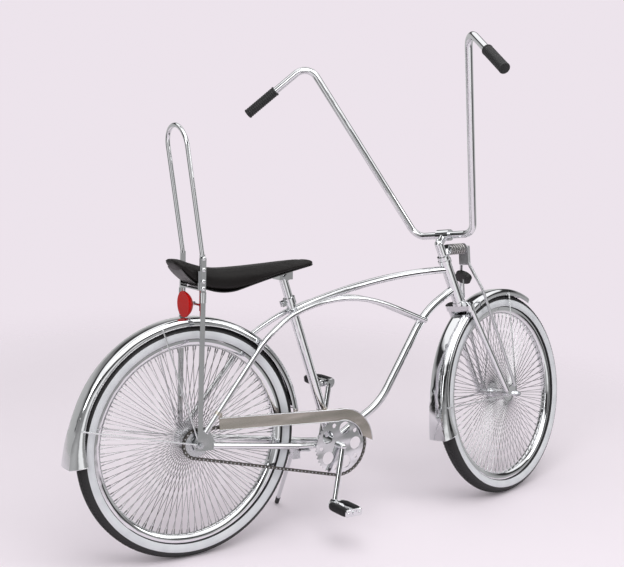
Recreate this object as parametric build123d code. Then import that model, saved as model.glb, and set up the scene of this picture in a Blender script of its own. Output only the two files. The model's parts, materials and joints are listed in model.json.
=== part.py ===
from build123d import *
import math
import os

# Lowrider cruiser bicycle, in millimetres and degrees.
# Each piece is made on the upright cycle: X forwards, Y to the left, Z up,
# with the origin at the middle of the rear axle.
# The whole cycle is then leaned onto its side stand.

# Wheels
RIM_RADIUS = 286.0
TYRE_SECTION = 54.0
TYRE_HEIGHT = 44.0
RIM_WIDTH = 33.0
RIM_DEPTH = 21.0
RIM_WALL = 2.0
WHEELBASE = 1160.0
AXLE_RADIUS = 4.75

# Spokes
SPOKES_PER_SIDE = 70
SPOKE_WIDTH = 1.8
SPOKE_END_Y = 4.0

# Hubs
HUB_FLANGE_RADIUS = 31.0
HUB_FLANGE_THICKNESS = 3.0
FRONT_FLANGE_Y = 31.0
REAR_FLANGE_Y = 34.0
FRONT_HUB_RADIUS = 15.0
REAR_HUB_RADIUS = 21.0
REAR_DROPOUT_Y = 55.0

# Coaster brake arm
BRAKE_ARM_LENGTH = 118.0
ARM_THICKNESS = 5.0

# Steering
HEAD_ANGLE = 66.0
FORK_RAKE = 54.0
STEER_REST = 15.0
STEERER_RADIUS = 12.7
HEAD_TUBE_RADIUS = 18.2
HEAD_TUBE_BORE = 15.0
CROWN_OVER_TYRE = 17.0
CROWN_HEIGHT = 20.0
HEAD_LENGTH = 138.0
CUP_HEIGHT = 11.0

# Frame
BB_DROP = 71.0
BB_SHELL_RADIUS = 28.0
BB_SHELL_BORE = 25.5
BB_SHELL_WIDTH = 68.0
SEAT_ANGLE = 71.2
SEAT_TUBE_RADIUS = 14.3
SEAT_POST_RADIUS = 12.7
SEAT_POST_SHOWING = 82.7
SEAT_OVER_TYRE = 108.0
TOP_TUBE_RADIUS = 11.1
DOWN_TUBE_RADIUS = 12.7
CANTILEVER_RADIUS = 8.0
CHAINSTAY_RADIUS = 9.5
DROPOUT_THICKNESS = 5.0

# Drive
CHAIN_PITCH = 12.7
CHAIN_Y = -46.0
CHAINRING_TEETH = 44
COG_TEETH = 20
RING_LINKS = 24
COG_LINKS = 10
BB_BEFORE_TYRE = 145.0
CHAIN_INSIDE = 3.3
LINK_PLATE = 1.0
LINK_HEIGHT = 7.8
ROLLER_WIDTH = 3.0
SPROCKET_THICKNESS = 3.0
CRANK_LENGTH = 165.0
CRANK_RADIUS = 8.5
CRANK_AXLE_RADIUS = 11.0
CRANK_REST = -106.8
PEDAL_EYE_Y = 88.0
PEDAL_WIDTH = 92.0
PEDAL_LENGTH = 64.0
GUARD_Y = -53.0
GUARD_THICKNESS = 1.6

# Stand
LEAN = 8.0
STAND_PIVOT_BACK = 122.0
STAND_PIVOT_Y = 30.0
STAND_PIVOT_DROP = 26.0
STAND_FOOT_FORWARD = 44.0
STAND_FOOT_Y = 190.0
STAND_RADIUS = 7.0

# Clearances
SEAT_GAP = 0.3
RUNNING_GAP = 0.05

TYRE_RADIUS = RIM_RADIUS + TYRE_HEIGHT
SPOKE_END_RADIUS = RIM_RADIUS - RIM_DEPTH - SEAT_GAP

REAR_AXLE = Vector(0, 0, 0)
FRONT_AXLE = Vector(WHEELBASE, 0, 0)
RING_RADIUS = CHAIN_PITCH / (2 * math.sin(math.pi / CHAINRING_TEETH))
COG_RADIUS = CHAIN_PITCH / (2 * math.sin(math.pi / COG_TEETH))

# The bottom bracket stands before the rear tyre, as near to its distance as the chain's whole links allow.
RING_TURN = math.pi * RING_LINKS / CHAINRING_TEETH
COG_TURN = math.pi * COG_LINKS / COG_TEETH
RUN_RISE = RING_RADIUS * math.sin(RING_TURN) - COG_RADIUS * math.sin(COG_TURN)
RUN_ENDS = RING_RADIUS * math.cos(RING_TURN) + COG_RADIUS * math.cos(COG_TURN)
RUN_WANTED = math.hypot(TYRE_RADIUS + BB_BEFORE_TYRE, BB_DROP) + RUN_ENDS
RUN_LINKS = round(math.hypot(RUN_WANTED, RUN_RISE) / CHAIN_PITCH)
RUN_REACH = math.sqrt((RUN_LINKS * CHAIN_PITCH) ** 2 - RUN_RISE**2)
AXLE_DISTANCE = RUN_REACH - RUN_ENDS
CHAINSTAY_RUN = math.sqrt(AXLE_DISTANCE**2 - BB_DROP**2)
BB = Vector(CHAINSTAY_RUN, 0, -BB_DROP)
HEAD_COS = math.cos(math.radians(HEAD_ANGLE))
HEAD_SIN = math.sin(math.radians(HEAD_ANGLE))
STEER_FOOT = FRONT_AXLE - Vector(HEAD_SIN, 0, HEAD_COS) * FORK_RAKE

# Heights up the steering axis
CROWN_LOW = TYRE_RADIUS + CROWN_OVER_TYRE
CROWN_HIGH = CROWN_LOW + CROWN_HEIGHT
HEAD_BOTTOM = CROWN_HIGH + CUP_HEIGHT
PERCH_UP = HEAD_BOTTOM + HEAD_LENGTH + CUP_HEIGHT

# In the steering frame x is forwards off the steering axis, y is left and z runs up the axis.
STEER_PLANE = Plane(origin=STEER_FOOT, x_dir=(HEAD_SIN, 0, HEAD_COS), z_dir=(-HEAD_COS, 0, HEAD_SIN))
STEER_AXIS = Axis(STEER_FOOT, STEER_PLANE.z_dir)

nodes = {}


def rod(start, end, radius, bore=0.0):
    """A straight round bar or tube between two points."""
    start, end = Vector(start), Vector(end)
    plane = Plane(origin=start, z_dir=end - start)
    section = plane * Circle(radius)
    if bore:
        section -= plane * Circle(bore)
    return extrude(section, amount=(end - start).length, dir=plane.z_dir)


def bent_bar(points, radii, radius):
    """A round bar along straight runs joined by tangent arcs."""
    path = FilletPolyline(*points, radius=radii)
    section = Plane(origin=path @ 0, z_dir=path % 0) * Circle(radius)
    return sweep(section, path=path)


def disc(centre, radius, y_from, y_to, bore=0.0):
    """A round plate across the cycle, between two values of y."""
    plane = Plane(origin=(centre.X, y_from, centre.Z), x_dir=(1, 0, 0), z_dir=(0, 1, 0))
    section = plane * Circle(radius)
    if bore:
        section -= plane * Circle(bore)
    return extrude(section, amount=y_to - y_from, dir=(0, 1, 0))


def side_plate(outline, y_from, y_to):
    """A flat plate across the cycle from a face drawn in X and Z."""
    face = Plane(origin=(0, y_from, 0), x_dir=(1, 0, 0), z_dir=(0, -1, 0)) * outline
    return extrude(face, amount=y_to - y_from, dir=(0, 1, 0))


def wheel_revolve(profile, centre):
    """Turns a profile, drawn with x across the wheel and y outwards, about the axle."""
    face = Plane(origin=centre, x_dir=(0, 1, 0), z_dir=(-1, 0, 0)) * profile
    return revolve(face, axis=Axis(centre, (0, 1, 0)))


def polar(centre, radius, angle, y=0.0):
    """A point round a centre, with the angle from the front, upwards."""
    turn = math.radians(angle)
    return Vector(centre.X + radius * math.cos(turn), y, centre.Z + radius * math.sin(turn))


def across(point):
    """A point's mirror image on the cycle's other side."""
    return Vector(point.X, -point.Y, point.Z)


def mirrored(shape):
    return mirror(shape, about=Plane.XZ)


def together(shapes):
    """Like pieces that don't touch, as one node."""
    return Compound([solid for shape in shapes for solid in shape.solids()])


def both(shape):
    """The piece and its mirror image across the cycle, as one node."""
    return together([shape, mirrored(shape)])


# Frame

def steer_point(up, forward=0.0, y=0.0):
    return STEER_PLANE.from_local_coords(Vector(forward, y, up))


SEAT_COS = math.cos(math.radians(SEAT_ANGLE))
SEAT_SIN = math.sin(math.radians(SEAT_ANGLE))


def seat_tube_point(up, y=0.0):
    """A point along the seat tube, from the bottom bracket's centre."""
    return Vector(BB.X - up * SEAT_COS, y, BB.Z + up * SEAT_SIN)


SEAT_Z = TYRE_RADIUS + SEAT_OVER_TYRE
SEAT_POST_UP = (SEAT_Z + BB_DROP) / SEAT_SIN
SEAT_TUBE_LENGTH = SEAT_POST_UP - SEAT_POST_SHOWING


head_solid = rod(steer_point(HEAD_BOTTOM), steer_point(HEAD_BOTTOM + HEAD_LENGTH), HEAD_TUBE_RADIUS)
nodes["head_tube"] = head_solid - rod(
    steer_point(HEAD_BOTTOM - 1), steer_point(HEAD_BOTTOM + HEAD_LENGTH + 1), HEAD_TUBE_BORE
)
shell_solid = disc(BB, BB_SHELL_RADIUS, -BB_SHELL_WIDTH / 2, BB_SHELL_WIDTH / 2)
nodes["bottom_bracket_shell"] = shell_solid - disc(
    BB, BB_SHELL_BORE, -BB_SHELL_WIDTH / 2 - 1, BB_SHELL_WIDTH / 2 + 1
)

seat_tube_solid = rod(seat_tube_point(0), seat_tube_point(SEAT_TUBE_LENGTH), SEAT_TUBE_RADIUS) - shell_solid
seat_tube_bore = rod(seat_tube_point(0), seat_tube_point(SEAT_TUBE_LENGTH + 1), SEAT_POST_RADIUS + RUNNING_GAP)
nodes["seat_tube"] = seat_tube_solid - seat_tube_bore

TOP_TUBE_FRONT = HEAD_BOTTOM + 114.0
TOP_TUBE_REAR = SEAT_TUBE_LENGTH - 23.0
TOP_TUBE_RISE = 24.0
top_front = steer_point(TOP_TUBE_FRONT)
top_rear = seat_tube_point(TOP_TUBE_REAR)
top_middle = (top_front + top_rear) / 2 + Vector(0, 0, TOP_TUBE_RISE)
top_path = ThreePointArc(top_rear, top_middle, top_front)
top_tube = sweep(Plane(origin=top_path @ 0, z_dir=top_path % 0) * Circle(TOP_TUBE_RADIUS), path=top_path)
seat_tube_line = rod(seat_tube_point(0), seat_tube_point(SEAT_TUBE_LENGTH * 1.1), SEAT_TUBE_RADIUS)
nodes["top_tube"] = top_tube - head_solid - seat_tube_line

# The down tube's bends are set as shares of its run from the bottom bracket to the head tube.
DOWN_TUBE_TOP = HEAD_BOTTOM + 47.0
DOWN_TUBE_UPPER = (0.754, 0.851)
DOWN_TUBE_LOWER = (0.386, 0.233)
down_tube_run = steer_point(DOWN_TUBE_TOP) - BB
down_tube_bends = [
    BB + Vector(down_tube_run.X * ahead, 0, down_tube_run.Z * rise)
    for ahead, rise in (DOWN_TUBE_UPPER, DOWN_TUBE_LOWER)
]
down_tube_path = FilletPolyline(steer_point(DOWN_TUBE_TOP), *down_tube_bends, BB, radius=[260.0, 190.0])
down_tube_start = Plane(origin=down_tube_path @ 0, z_dir=down_tube_path % 0)
down_tube = sweep(down_tube_start * Circle(DOWN_TUBE_RADIUS), path=down_tube_path)
nodes["down_tube"] = down_tube - head_solid - shell_solid

# Each cantilever tube runs from the down tube past the seat tube's top to the rear dropout.
CANTILEVER_JOIN = 0.242
seat_tube_top = seat_tube_point(SEAT_TUBE_LENGTH)
cantilever_join = down_tube_path @ CANTILEVER_JOIN
cantilever_run = cantilever_join - seat_tube_top


def cantilever_point(share, rise, y):
    """A place over the straight line from the seat tube's top to the join on the down tube."""
    place = seat_tube_top + cantilever_run * share
    return (place.X, y, place.Z + rise)


CANTILEVER_BENDS = [
    (cantilever_join.X, 20.9, cantilever_join.Z),
    cantilever_point(0.639, 41.0, 20.9),
    cantilever_point(0.293, 45.0, 22.5),
    (seat_tube_top.X - 25.4, 26.0, seat_tube_top.Z - 34.7),
    (seat_tube_top.X - 110.4, TYRE_SECTION / 2 + 18.0, seat_tube_top.Z - 89.7),
    (20.0, 59.5, 32.0),
]
CANTILEVER_RADII = [600.0, 450.0, 300.0, 200.0]
cantilever = bent_bar(CANTILEVER_BENDS, CANTILEVER_RADII, CANTILEVER_RADIUS)
cantilever -= seat_tube_line
cantilever -= down_tube

# The dropout is a flat plate that the stays' ends are welded to and the axle is bolted in.
DROPOUT_RADIUS = 17.0
DROPOUT_FRONT = 52.0
STAY_END_X = 42.0
dropout_outline = Polyline(
    (-DROPOUT_RADIUS, 0.0),
    (-10.0, DROPOUT_RADIUS),
    (12.0, 40.0),
    (32.0, 34.0),
    (DROPOUT_FRONT, -2.0),
    (DROPOUT_FRONT - 6.0, -20.0),
    (-10.0, -DROPOUT_RADIUS),
    close=True,
)
dropout = side_plate(make_face(dropout_outline), REAR_DROPOUT_Y, REAR_DROPOUT_Y + DROPOUT_THICKNESS)
dropout -= disc(
    REAR_AXLE, AXLE_RADIUS + RUNNING_GAP, REAR_DROPOUT_Y - 1, REAR_DROPOUT_Y + DROPOUT_THICKNESS + 1
)
cantilever -= dropout
CHAINSTAY_POINTS = [
    (BB.X, 20.0, BB.Z),
    (BB.X - 72.0, 30.0, BB.Z + 7.0),
    (BB.X - 142.0, TYRE_SECTION / 2 + 14.0, BB.Z + 17.0),
    (STAY_END_X, REAR_DROPOUT_Y + DROPOUT_THICKNESS / 2, -8.0),
]
chainstay = bent_bar(CHAINSTAY_POINTS, [200.0, 200.0], CHAINSTAY_RADIUS) - shell_solid - dropout
for side, turn in (("left", lambda shape: shape), ("right", mirrored)):
    nodes["cantilever_" + side] = turn(cantilever)
    nodes["chainstay_" + side] = turn(chainstay + dropout)

# Head bearings and bottom bracket cups
cup_profile = [
    (HEAD_BOTTOM - CUP_HEIGHT, HEAD_BOTTOM),
    (HEAD_BOTTOM + HEAD_LENGTH, HEAD_BOTTOM + HEAD_LENGTH + CUP_HEIGHT),
]
CUP_RADIUS = 21.0
nodes["head_cups"] = together(
    rod(steer_point(low), steer_point(high), CUP_RADIUS, STEERER_RADIUS + RUNNING_GAP)
    for low, high in cup_profile
)
BB_CUP_WIDTH = 4.0
bb_cup = disc(
    BB,
    BB_SHELL_RADIUS,
    BB_SHELL_WIDTH / 2,
    BB_SHELL_WIDTH / 2 + BB_CUP_WIDTH,
    CRANK_AXLE_RADIUS + RUNNING_GAP,
)
nodes["bottom_bracket_cups"] = both(bb_cup)

# Seat post, its clamps, seat and back bar
post_top = seat_tube_point(SEAT_POST_UP)
POST_INSERT = 90.0
nodes["seat_post"] = rod(seat_tube_point(SEAT_TUBE_LENGTH - POST_INSERT), post_top, SEAT_POST_RADIUS)
COLLAR_HEIGHT = 20.0
COLLAR_WALL = 3.5
COLLAR_EAR = 16.0
collar_low = seat_tube_point(SEAT_TUBE_LENGTH)
collar_high = seat_tube_point(SEAT_TUBE_LENGTH + COLLAR_HEIGHT)
collar = rod(collar_low, collar_high, SEAT_TUBE_RADIUS + COLLAR_WALL, SEAT_POST_RADIUS + RUNNING_GAP)
ear_plane = Plane(
    origin=seat_tube_point(SEAT_TUBE_LENGTH + COLLAR_HEIGHT / 2),
    x_dir=(SEAT_SIN, 0, SEAT_COS),
    z_dir=(-SEAT_COS, 0, SEAT_SIN),
)
ear = ear_plane * Pos(-SEAT_TUBE_RADIUS - COLLAR_EAR / 2, 5.0, 0) * Box(COLLAR_EAR, 4.0, COLLAR_HEIGHT - 4)
collar += ear + mirrored(ear)
collar += ear_plane * Pos(-SEAT_TUBE_RADIUS - 9.0, 0, 0) * Rot(90, 0, 0) * Cylinder(3.5, 26.0)
nodes["seat_collar"] = collar

# The seat's side outline: rear edge, dip over the back wheel and nose.
SEAT_REAR_X = -54.0
SEAT_NOSE_X = 393.0
SEAT_HALF_REAR = 52.0
SEAT_HALF_NOSE = 34.0
SEAT_DIP_X = 85.0
seat_top = [
    (SEAT_REAR_X, SEAT_Z + 78.0),
    (0.0, SEAT_Z + 56.0),
    (SEAT_DIP_X, SEAT_Z + 36.0),
    (235.0, SEAT_Z + 41.0),
    (SEAT_NOSE_X, SEAT_Z + 49.0),
]
seat_low = [
    (SEAT_NOSE_X, SEAT_Z + 37.0),
    (260.0, SEAT_Z + 11.0),
    (130.0, SEAT_Z - 20.0),
    (30.0, SEAT_Z - 9.0),
    (SEAT_REAR_X + 14, SEAT_Z + 47.0),
]
pad_outline = Curve(
    children=[
        ThreePointArc(*seat_top[0:3]),
        ThreePointArc(*seat_top[2:5]),
        Line(seat_top[4], seat_low[0]),
        ThreePointArc(*seat_low[0:3]),
        ThreePointArc(*seat_low[2:5]),
        Line(seat_low[4], seat_top[0]),
    ]
)
pad_block = side_plate(make_face(pad_outline.edges()), -SEAT_HALF_REAR, SEAT_HALF_REAR)
SEAT_TAPER_X = 150.0
SEAT_CORNER = 24.0
seat_plan = Polyline(
    (SEAT_REAR_X - 1, -SEAT_HALF_REAR),
    (SEAT_TAPER_X, -SEAT_HALF_REAR),
    (SEAT_NOSE_X + 1, -SEAT_HALF_NOSE),
    (SEAT_NOSE_X + 1, SEAT_HALF_NOSE),
    (SEAT_TAPER_X, SEAT_HALF_REAR),
    (SEAT_REAR_X - 1, SEAT_HALF_REAR),
    close=True,
)
plan_face = make_face(seat_plan)
plan_face = fillet(plan_face.vertices().sort_by(Axis.X)[:2], SEAT_CORNER)
plan_face = fillet(plan_face.vertices().sort_by(Axis.X)[-2:], SEAT_CORNER)
nodes["seat_pad"] = pad_block & extrude(Pos(0, 0, SEAT_Z - 100) * plan_face, amount=300)

PAN_THICKNESS = 2.5
pan_upper = [(x, z - SEAT_GAP) for x, z in seat_low]
pan_lower = [(x, z - SEAT_GAP - PAN_THICKNESS) for x, z in seat_low]
pan_outline = Curve(
    children=[
        ThreePointArc(*pan_upper[0:3]),
        ThreePointArc(*pan_upper[2:5]),
        Line(pan_upper[4], pan_lower[4]),
        ThreePointArc(*pan_lower[2:5]),
        ThreePointArc(*pan_lower[0:3]),
        Line(pan_lower[0], pan_upper[0]),
    ]
)
pan_block = side_plate(make_face(pan_outline.edges()), -SEAT_HALF_REAR, SEAT_HALF_REAR)
PAN_SCALE = 0.86
pan_plan = scale(plan_face, by=(1.0, PAN_SCALE, 1.0))
nodes["seat_pan"] = pan_block & extrude(Pos(0, 0, SEAT_Z - 100) * pan_plan, amount=300)

# Back bar: a round bar bent to an arch, with flat tabs bolted between seat bracket and struts.
BAR_RADIUS = 6.3
BAR_Y = 59.0
BAR_TOP = (-36.0, SEAT_Z + 429.0)
BAR_LOW = (14.0, SEAT_Z + 80.0)
TAB_THICKNESS = 4.8
TAB_WIDTH = 15.0
TAB_LOW_Z = SEAT_Z - 68.0
STRUT_THICKNESS = 4.0
STRUT_WIDTH = 15.0
STRUT_TOP = (16.0, BAR_LOW[1] + 4)
tab_y = BAR_Y - TAB_THICKNESS / 2
strut_y = BAR_Y + TAB_THICKNESS / 2
bar_path = FilletPolyline(
    (BAR_LOW[0], -BAR_Y, BAR_LOW[1]),
    (BAR_TOP[0], -BAR_Y, BAR_TOP[1]),
    (BAR_TOP[0], BAR_Y, BAR_TOP[1]),
    (BAR_LOW[0], BAR_Y, BAR_LOW[1]),
    radius=BAR_Y - 1,
)
back_bar = sweep(Plane(origin=bar_path @ 0, z_dir=bar_path % 0) * Circle(BAR_RADIUS), path=bar_path)
tab_outline = Polyline(
    (BAR_LOW[0] - TAB_WIDTH / 2, BAR_LOW[1] + 4),
    (BAR_LOW[0] + TAB_WIDTH / 2, BAR_LOW[1] + 4),
    (BAR_LOW[0] + TAB_WIDTH / 2 - 2, TAB_LOW_Z),
    (BAR_LOW[0] - TAB_WIDTH / 2 - 2, TAB_LOW_Z),
    close=True,
)
tab = side_plate(make_face(tab_outline), tab_y, tab_y + TAB_THICKNESS)
strut_outline = Polyline(
    (-STRUT_WIDTH / 2, -12),
    (STRUT_WIDTH / 2, -12),
    (STRUT_TOP[0] + STRUT_WIDTH / 2, STRUT_TOP[1]),
    (STRUT_TOP[0] - STRUT_WIDTH / 2, STRUT_TOP[1]),
    close=True,
)
strut = side_plate(make_face(strut_outline), strut_y, strut_y + STRUT_THICKNESS)
strut -= disc(REAR_AXLE, AXLE_RADIUS + RUNNING_GAP, strut_y - 1, strut_y + STRUT_THICKNESS + 1)
trim_low, trim_high = BAR_LOW[1] - 6, BAR_LOW[1] + 50
upper_trim = side_plate(
    make_face(Polyline((-60, trim_low), (80, trim_low), (80, trim_high), (-60, trim_high), close=True)),
    strut_y - 9,
    90,
)
strut -= upper_trim
nodes["back_bar"] = back_bar + tab + mirrored(tab)
nodes["seat_struts"] = both(strut)

BRACKET_THICKNESS = 3.0
BRACKET_WIDTH = 20.0
BRACKET_X = 13.0
BRACKET_TOP = SEAT_Z + 38.0
BRACKET_FLOOR = SEAT_Z - 11.5
bracket = Pos(BRACKET_X, 0, BRACKET_FLOOR) * Box(BRACKET_WIDTH, 2 * tab_y - 2 * SEAT_GAP, BRACKET_THICKNESS)
bracket_side = Pos(
    BRACKET_X, tab_y - SEAT_GAP - BRACKET_THICKNESS / 2, (BRACKET_TOP + BRACKET_FLOOR) / 2
) * Box(BRACKET_WIDTH, BRACKET_THICKNESS, BRACKET_TOP - BRACKET_FLOOR + BRACKET_THICKNESS)
nodes["seat_bracket"] = bracket + bracket_side + mirrored(bracket_side) - pan_block

CLAMP_HEIGHT = 22.0
seat_clamp = Pos(post_top.X, 0, SEAT_Z + 6) * Box(44, 40, CLAMP_HEIGHT)
seat_clamp += Pos(post_top.X, 0, SEAT_Z + 2) * Rot(90, 0, 0) * Cylinder(9, 52)
seat_clamp -= rod(seat_tube_top, post_top, SEAT_POST_RADIUS + RUNNING_GAP)
pan_keepout = side_plate(
    make_face(
        Curve(
            children=[
                ThreePointArc(*pan_lower[0:3]),
                Line(pan_lower[2], (pan_lower[2][0], SEAT_Z + 100)),
                Line((pan_lower[2][0], SEAT_Z + 100), (pan_lower[0][0], SEAT_Z + 100)),
                Line((pan_lower[0][0], SEAT_Z + 100), pan_lower[0]),
            ]
        ).edges()
    ),
    -60,
    60,
)
nodes["seat_clamp"] = seat_clamp - pan_keepout

# Tail reflector, on a stub from the near strut
REFLECTOR_X = -20.0
REFLECTOR_Y = -8.0
REFLECTOR_Z = SEAT_Z - 54.0
REFLECTOR_RADIUS = 36.0
REFLECTOR_DEPTH = 26.0
LENS_EDGE = 5.0
dome_height = REFLECTOR_DEPTH - LENS_EDGE
dome_sphere = (REFLECTOR_RADIUS**2 + dome_height**2) / (2 * dome_height)
reflector_plane = Plane(origin=(REFLECTOR_X, REFLECTOR_Y, REFLECTOR_Z), z_dir=(1, 0, 0))
tail = reflector_plane * Pos(0, 0, REFLECTOR_DEPTH / 2) * Cylinder(REFLECTOR_RADIUS, REFLECTOR_DEPTH)
tail &= reflector_plane * Pos(0, 0, REFLECTOR_DEPTH - dome_sphere) * Sphere(dome_sphere)
nodes["tail_reflector"] = tail
stub_x = REFLECTOR_X + REFLECTOR_DEPTH + 6
STUB_RADIUS = 3.5
tail_stub = rod((stub_x, -tab_y + SEAT_GAP, REFLECTOR_Z), (stub_x, REFLECTOR_Y + 3, REFLECTOR_Z), STUB_RADIUS)
tail_stub += rod(
    (REFLECTOR_X + REFLECTOR_DEPTH + SEAT_GAP, REFLECTOR_Y, REFLECTOR_Z),
    (stub_x + 4, REFLECTOR_Y, REFLECTOR_Z),
    STUB_RADIUS + 2,
)
nodes["reflector_bar"] = tail_stub


# Wheels

def tyre(centre):
    middle = TYRE_RADIUS - TYRE_SECTION / 2
    floor = RIM_RADIUS + SEAT_GAP
    section = Pos(0, middle) * Circle(TYRE_SECTION / 2)
    section -= Pos(0, floor - 50) * Rectangle(TYRE_SECTION * 2, 100)
    return wheel_revolve(section, centre)


def rim(centre):
    half = RIM_WIDTH / 2
    outer = Polyline(
        (-half, RIM_RADIUS),
        (-half, RIM_RADIUS - 7),
        (-half + 3, RIM_RADIUS - 15),
        (-half + 9, RIM_RADIUS - RIM_DEPTH),
        (half - 9, RIM_RADIUS - RIM_DEPTH),
        (half - 3, RIM_RADIUS - 15),
        (half, RIM_RADIUS - 7),
        (half, RIM_RADIUS),
        (half - RIM_WALL, RIM_RADIUS),
        (half - RIM_WALL, RIM_RADIUS - 6.5),
        (half - 3 - RIM_WALL, RIM_RADIUS - 13.5),
        (half - 9.5, RIM_RADIUS - RIM_DEPTH + RIM_WALL),
        (-half + 9.5, RIM_RADIUS - RIM_DEPTH + RIM_WALL),
        (-half + 3 + RIM_WALL, RIM_RADIUS - 13.5),
        (-half + RIM_WALL, RIM_RADIUS - 6.5),
        (-half + RIM_WALL, RIM_RADIUS),
        close=True,
    )
    return wheel_revolve(make_face(outer), centre)


def hub(centre, flange_y, shell_radius):
    """The hub's shell and flanges with a row of straight spokes fused to each flange."""
    shell = disc(centre, shell_radius, -flange_y - 5, flange_y + 5)
    for side in (-1, 1):
        middle = side * flange_y
        half = HUB_FLANGE_THICKNESS / 2
        shell += disc(centre, HUB_FLANGE_RADIUS, middle - half, middle + half)
    shell -= disc(centre, AXLE_RADIUS + RUNNING_GAP, -flange_y - 6, flange_y + 6)
    spokes = []
    for side in (-1, 1):
        for index in range(SPOKES_PER_SIDE):
            around = (index + 0.25 * (1 + side)) * 360 / SPOKES_PER_SIDE
            inner = polar(centre, HUB_FLANGE_RADIUS - 3.0, around, side * flange_y)
            outer = polar(centre, SPOKE_END_RADIUS, around, side * SPOKE_END_Y)
            plane = Plane(origin=inner, x_dir=(0, 1, 0), z_dir=outer - inner)
            spokes.append(extrude(plane * Rectangle(SPOKE_WIDTH, SPOKE_WIDTH), amount=(outer - inner).length))
    return shell.fuse(*spokes)


for place, centre, flange_y, shell_radius in (
    ("front", FRONT_AXLE, FRONT_FLANGE_Y, FRONT_HUB_RADIUS),
    ("rear", REAR_AXLE, REAR_FLANGE_Y, REAR_HUB_RADIUS),
):
    nodes[place + "_tyre"] = tyre(centre)
    nodes[place + "_rim"] = rim(centre)
    nodes[place + "_hub"] = hub(centre, flange_y, shell_radius)


# Axles, with the cones inside and the nuts outside

def axle(centre, hub_ends, inside, outside, stack):
    """hub_ends are where the right and left cones start."""
    bar = disc(centre, AXLE_RADIUS, -outside - stack - 14, outside + stack + 14)
    for side, hub_end in zip((-1, 1), hub_ends):
        cone = (side * (hub_end + SEAT_GAP), side * inside)
        nut = (side * (outside + stack), side * (outside + stack + 9))
        bar += disc(centre, 9.0, min(cone), max(cone))
        nut_plane = Plane(origin=(centre.X, min(nut), centre.Z), x_dir=(1, 0, 0), z_dir=(0, 1, 0))
        bar += extrude(nut_plane * RegularPolygon(9.0, 6), amount=9.0, dir=(0, 1, 0))
    return bar


BRACE_EYE = 2.0
BRACE_RADIUS = 2.2
REAR_STACK = strut_y + STRUT_THICKNESS - REAR_DROPOUT_Y - DROPOUT_THICKNESS
COG_BOSS_END = -CHAIN_Y + 3.5
nodes["rear_axle"] = axle(
    REAR_AXLE,
    (COG_BOSS_END, REAR_FLANGE_Y + 5 + ARM_THICKNESS + SEAT_GAP),
    REAR_DROPOUT_Y,
    REAR_DROPOUT_Y + DROPOUT_THICKNESS,
    REAR_STACK,
)

# Drive: crank, chainring, cog and chain

# Each tooth stands between two rollers and stops below them, so that it passes the chain, which has no joint.
TOOTH_REACH = ROLLER_WIDTH / 2 + 0.8
GULLET_RADIUS = 5.2
GULLET_DROP = 1.0
SPROCKET_SIDES = (CHAIN_Y - SPROCKET_THICKNESS / 2, CHAIN_Y + SPROCKET_THICKNESS / 2)
chain_run = BB - REAR_AXLE
tilt = math.degrees(math.atan2(chain_run.Z, chain_run.X))


def sprocket(centre, teeth, pitch_radius):
    """A toothed plate with its gullets under the chain's rollers."""
    gullets = PolarLocations(pitch_radius - GULLET_DROP, teeth, start_angle=tilt) * Circle(GULLET_RADIUS)
    outline = Circle(pitch_radius - TOOTH_REACH) - gullets
    return side_plate(Pos(centre.X, centre.Z) * outline, *SPROCKET_SIDES)


cog = sprocket(REAR_AXLE, COG_TEETH, COG_RADIUS)
cog += disc(REAR_AXLE, 20.0, -COG_BOSS_END, -REAR_FLANGE_Y - 5 - SEAT_GAP)
nodes["rear_cog"] = cog - disc(REAR_AXLE, AXLE_RADIUS + RUNNING_GAP, CHAIN_Y - 6, -REAR_FLANGE_Y)

RING_HOLES = 5
ring = sprocket(BB, CHAINRING_TEETH, RING_RADIUS) - disc(BB, CRANK_AXLE_RADIUS + SEAT_GAP, *SPROCKET_SIDES)
for index in range(RING_HOLES):
    around = CRANK_REST + (index + 0.5) * 360 / RING_HOLES
    ring -= disc(polar(BB, 54.0, around), 19.0, CHAIN_Y - 3, CHAIN_Y + 3)
    ring -= disc(polar(BB, 66.0, around + 180 / RING_HOLES), 7.0, CHAIN_Y - 3, CHAIN_Y + 3)
nodes["chainring"] = ring

crank_unit = Vector(math.cos(math.radians(CRANK_REST)), 0, math.sin(math.radians(CRANK_REST)))
CRANK_ROOT_Y = 60.0
right_root = BB + Vector(0, -CRANK_ROOT_Y, 0)
right_eye = BB + crank_unit * CRANK_LENGTH + Vector(0, -PEDAL_EYE_Y, 0)
left_root = BB + Vector(0, CRANK_ROOT_Y, 0)
left_eye = BB - crank_unit * CRANK_LENGTH + Vector(0, PEDAL_EYE_Y, 0)
crank = rod(left_root, right_root, CRANK_AXLE_RADIUS)
for root, eye in ((right_root, right_eye), (left_root, left_eye)):
    crank += rod(root, eye, CRANK_RADIUS)
    crank += Pos(*root) * Sphere(CRANK_AXLE_RADIUS)
    crank += disc(eye, 13.0, eye.Y - 7, eye.Y + 7)
crank += disc(BB, 18.0, SPROCKET_SIDES[1] + SEAT_GAP, -BB_SHELL_WIDTH / 2 - BB_CUP_WIDTH - SEAT_GAP)
crank += disc(BB, 18.0, BB_SHELL_WIDTH / 2 + BB_CUP_WIDTH + SEAT_GAP, BB_SHELL_WIDTH / 2 + BB_CUP_WIDTH + 7)
nodes["crank"] = crank

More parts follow.
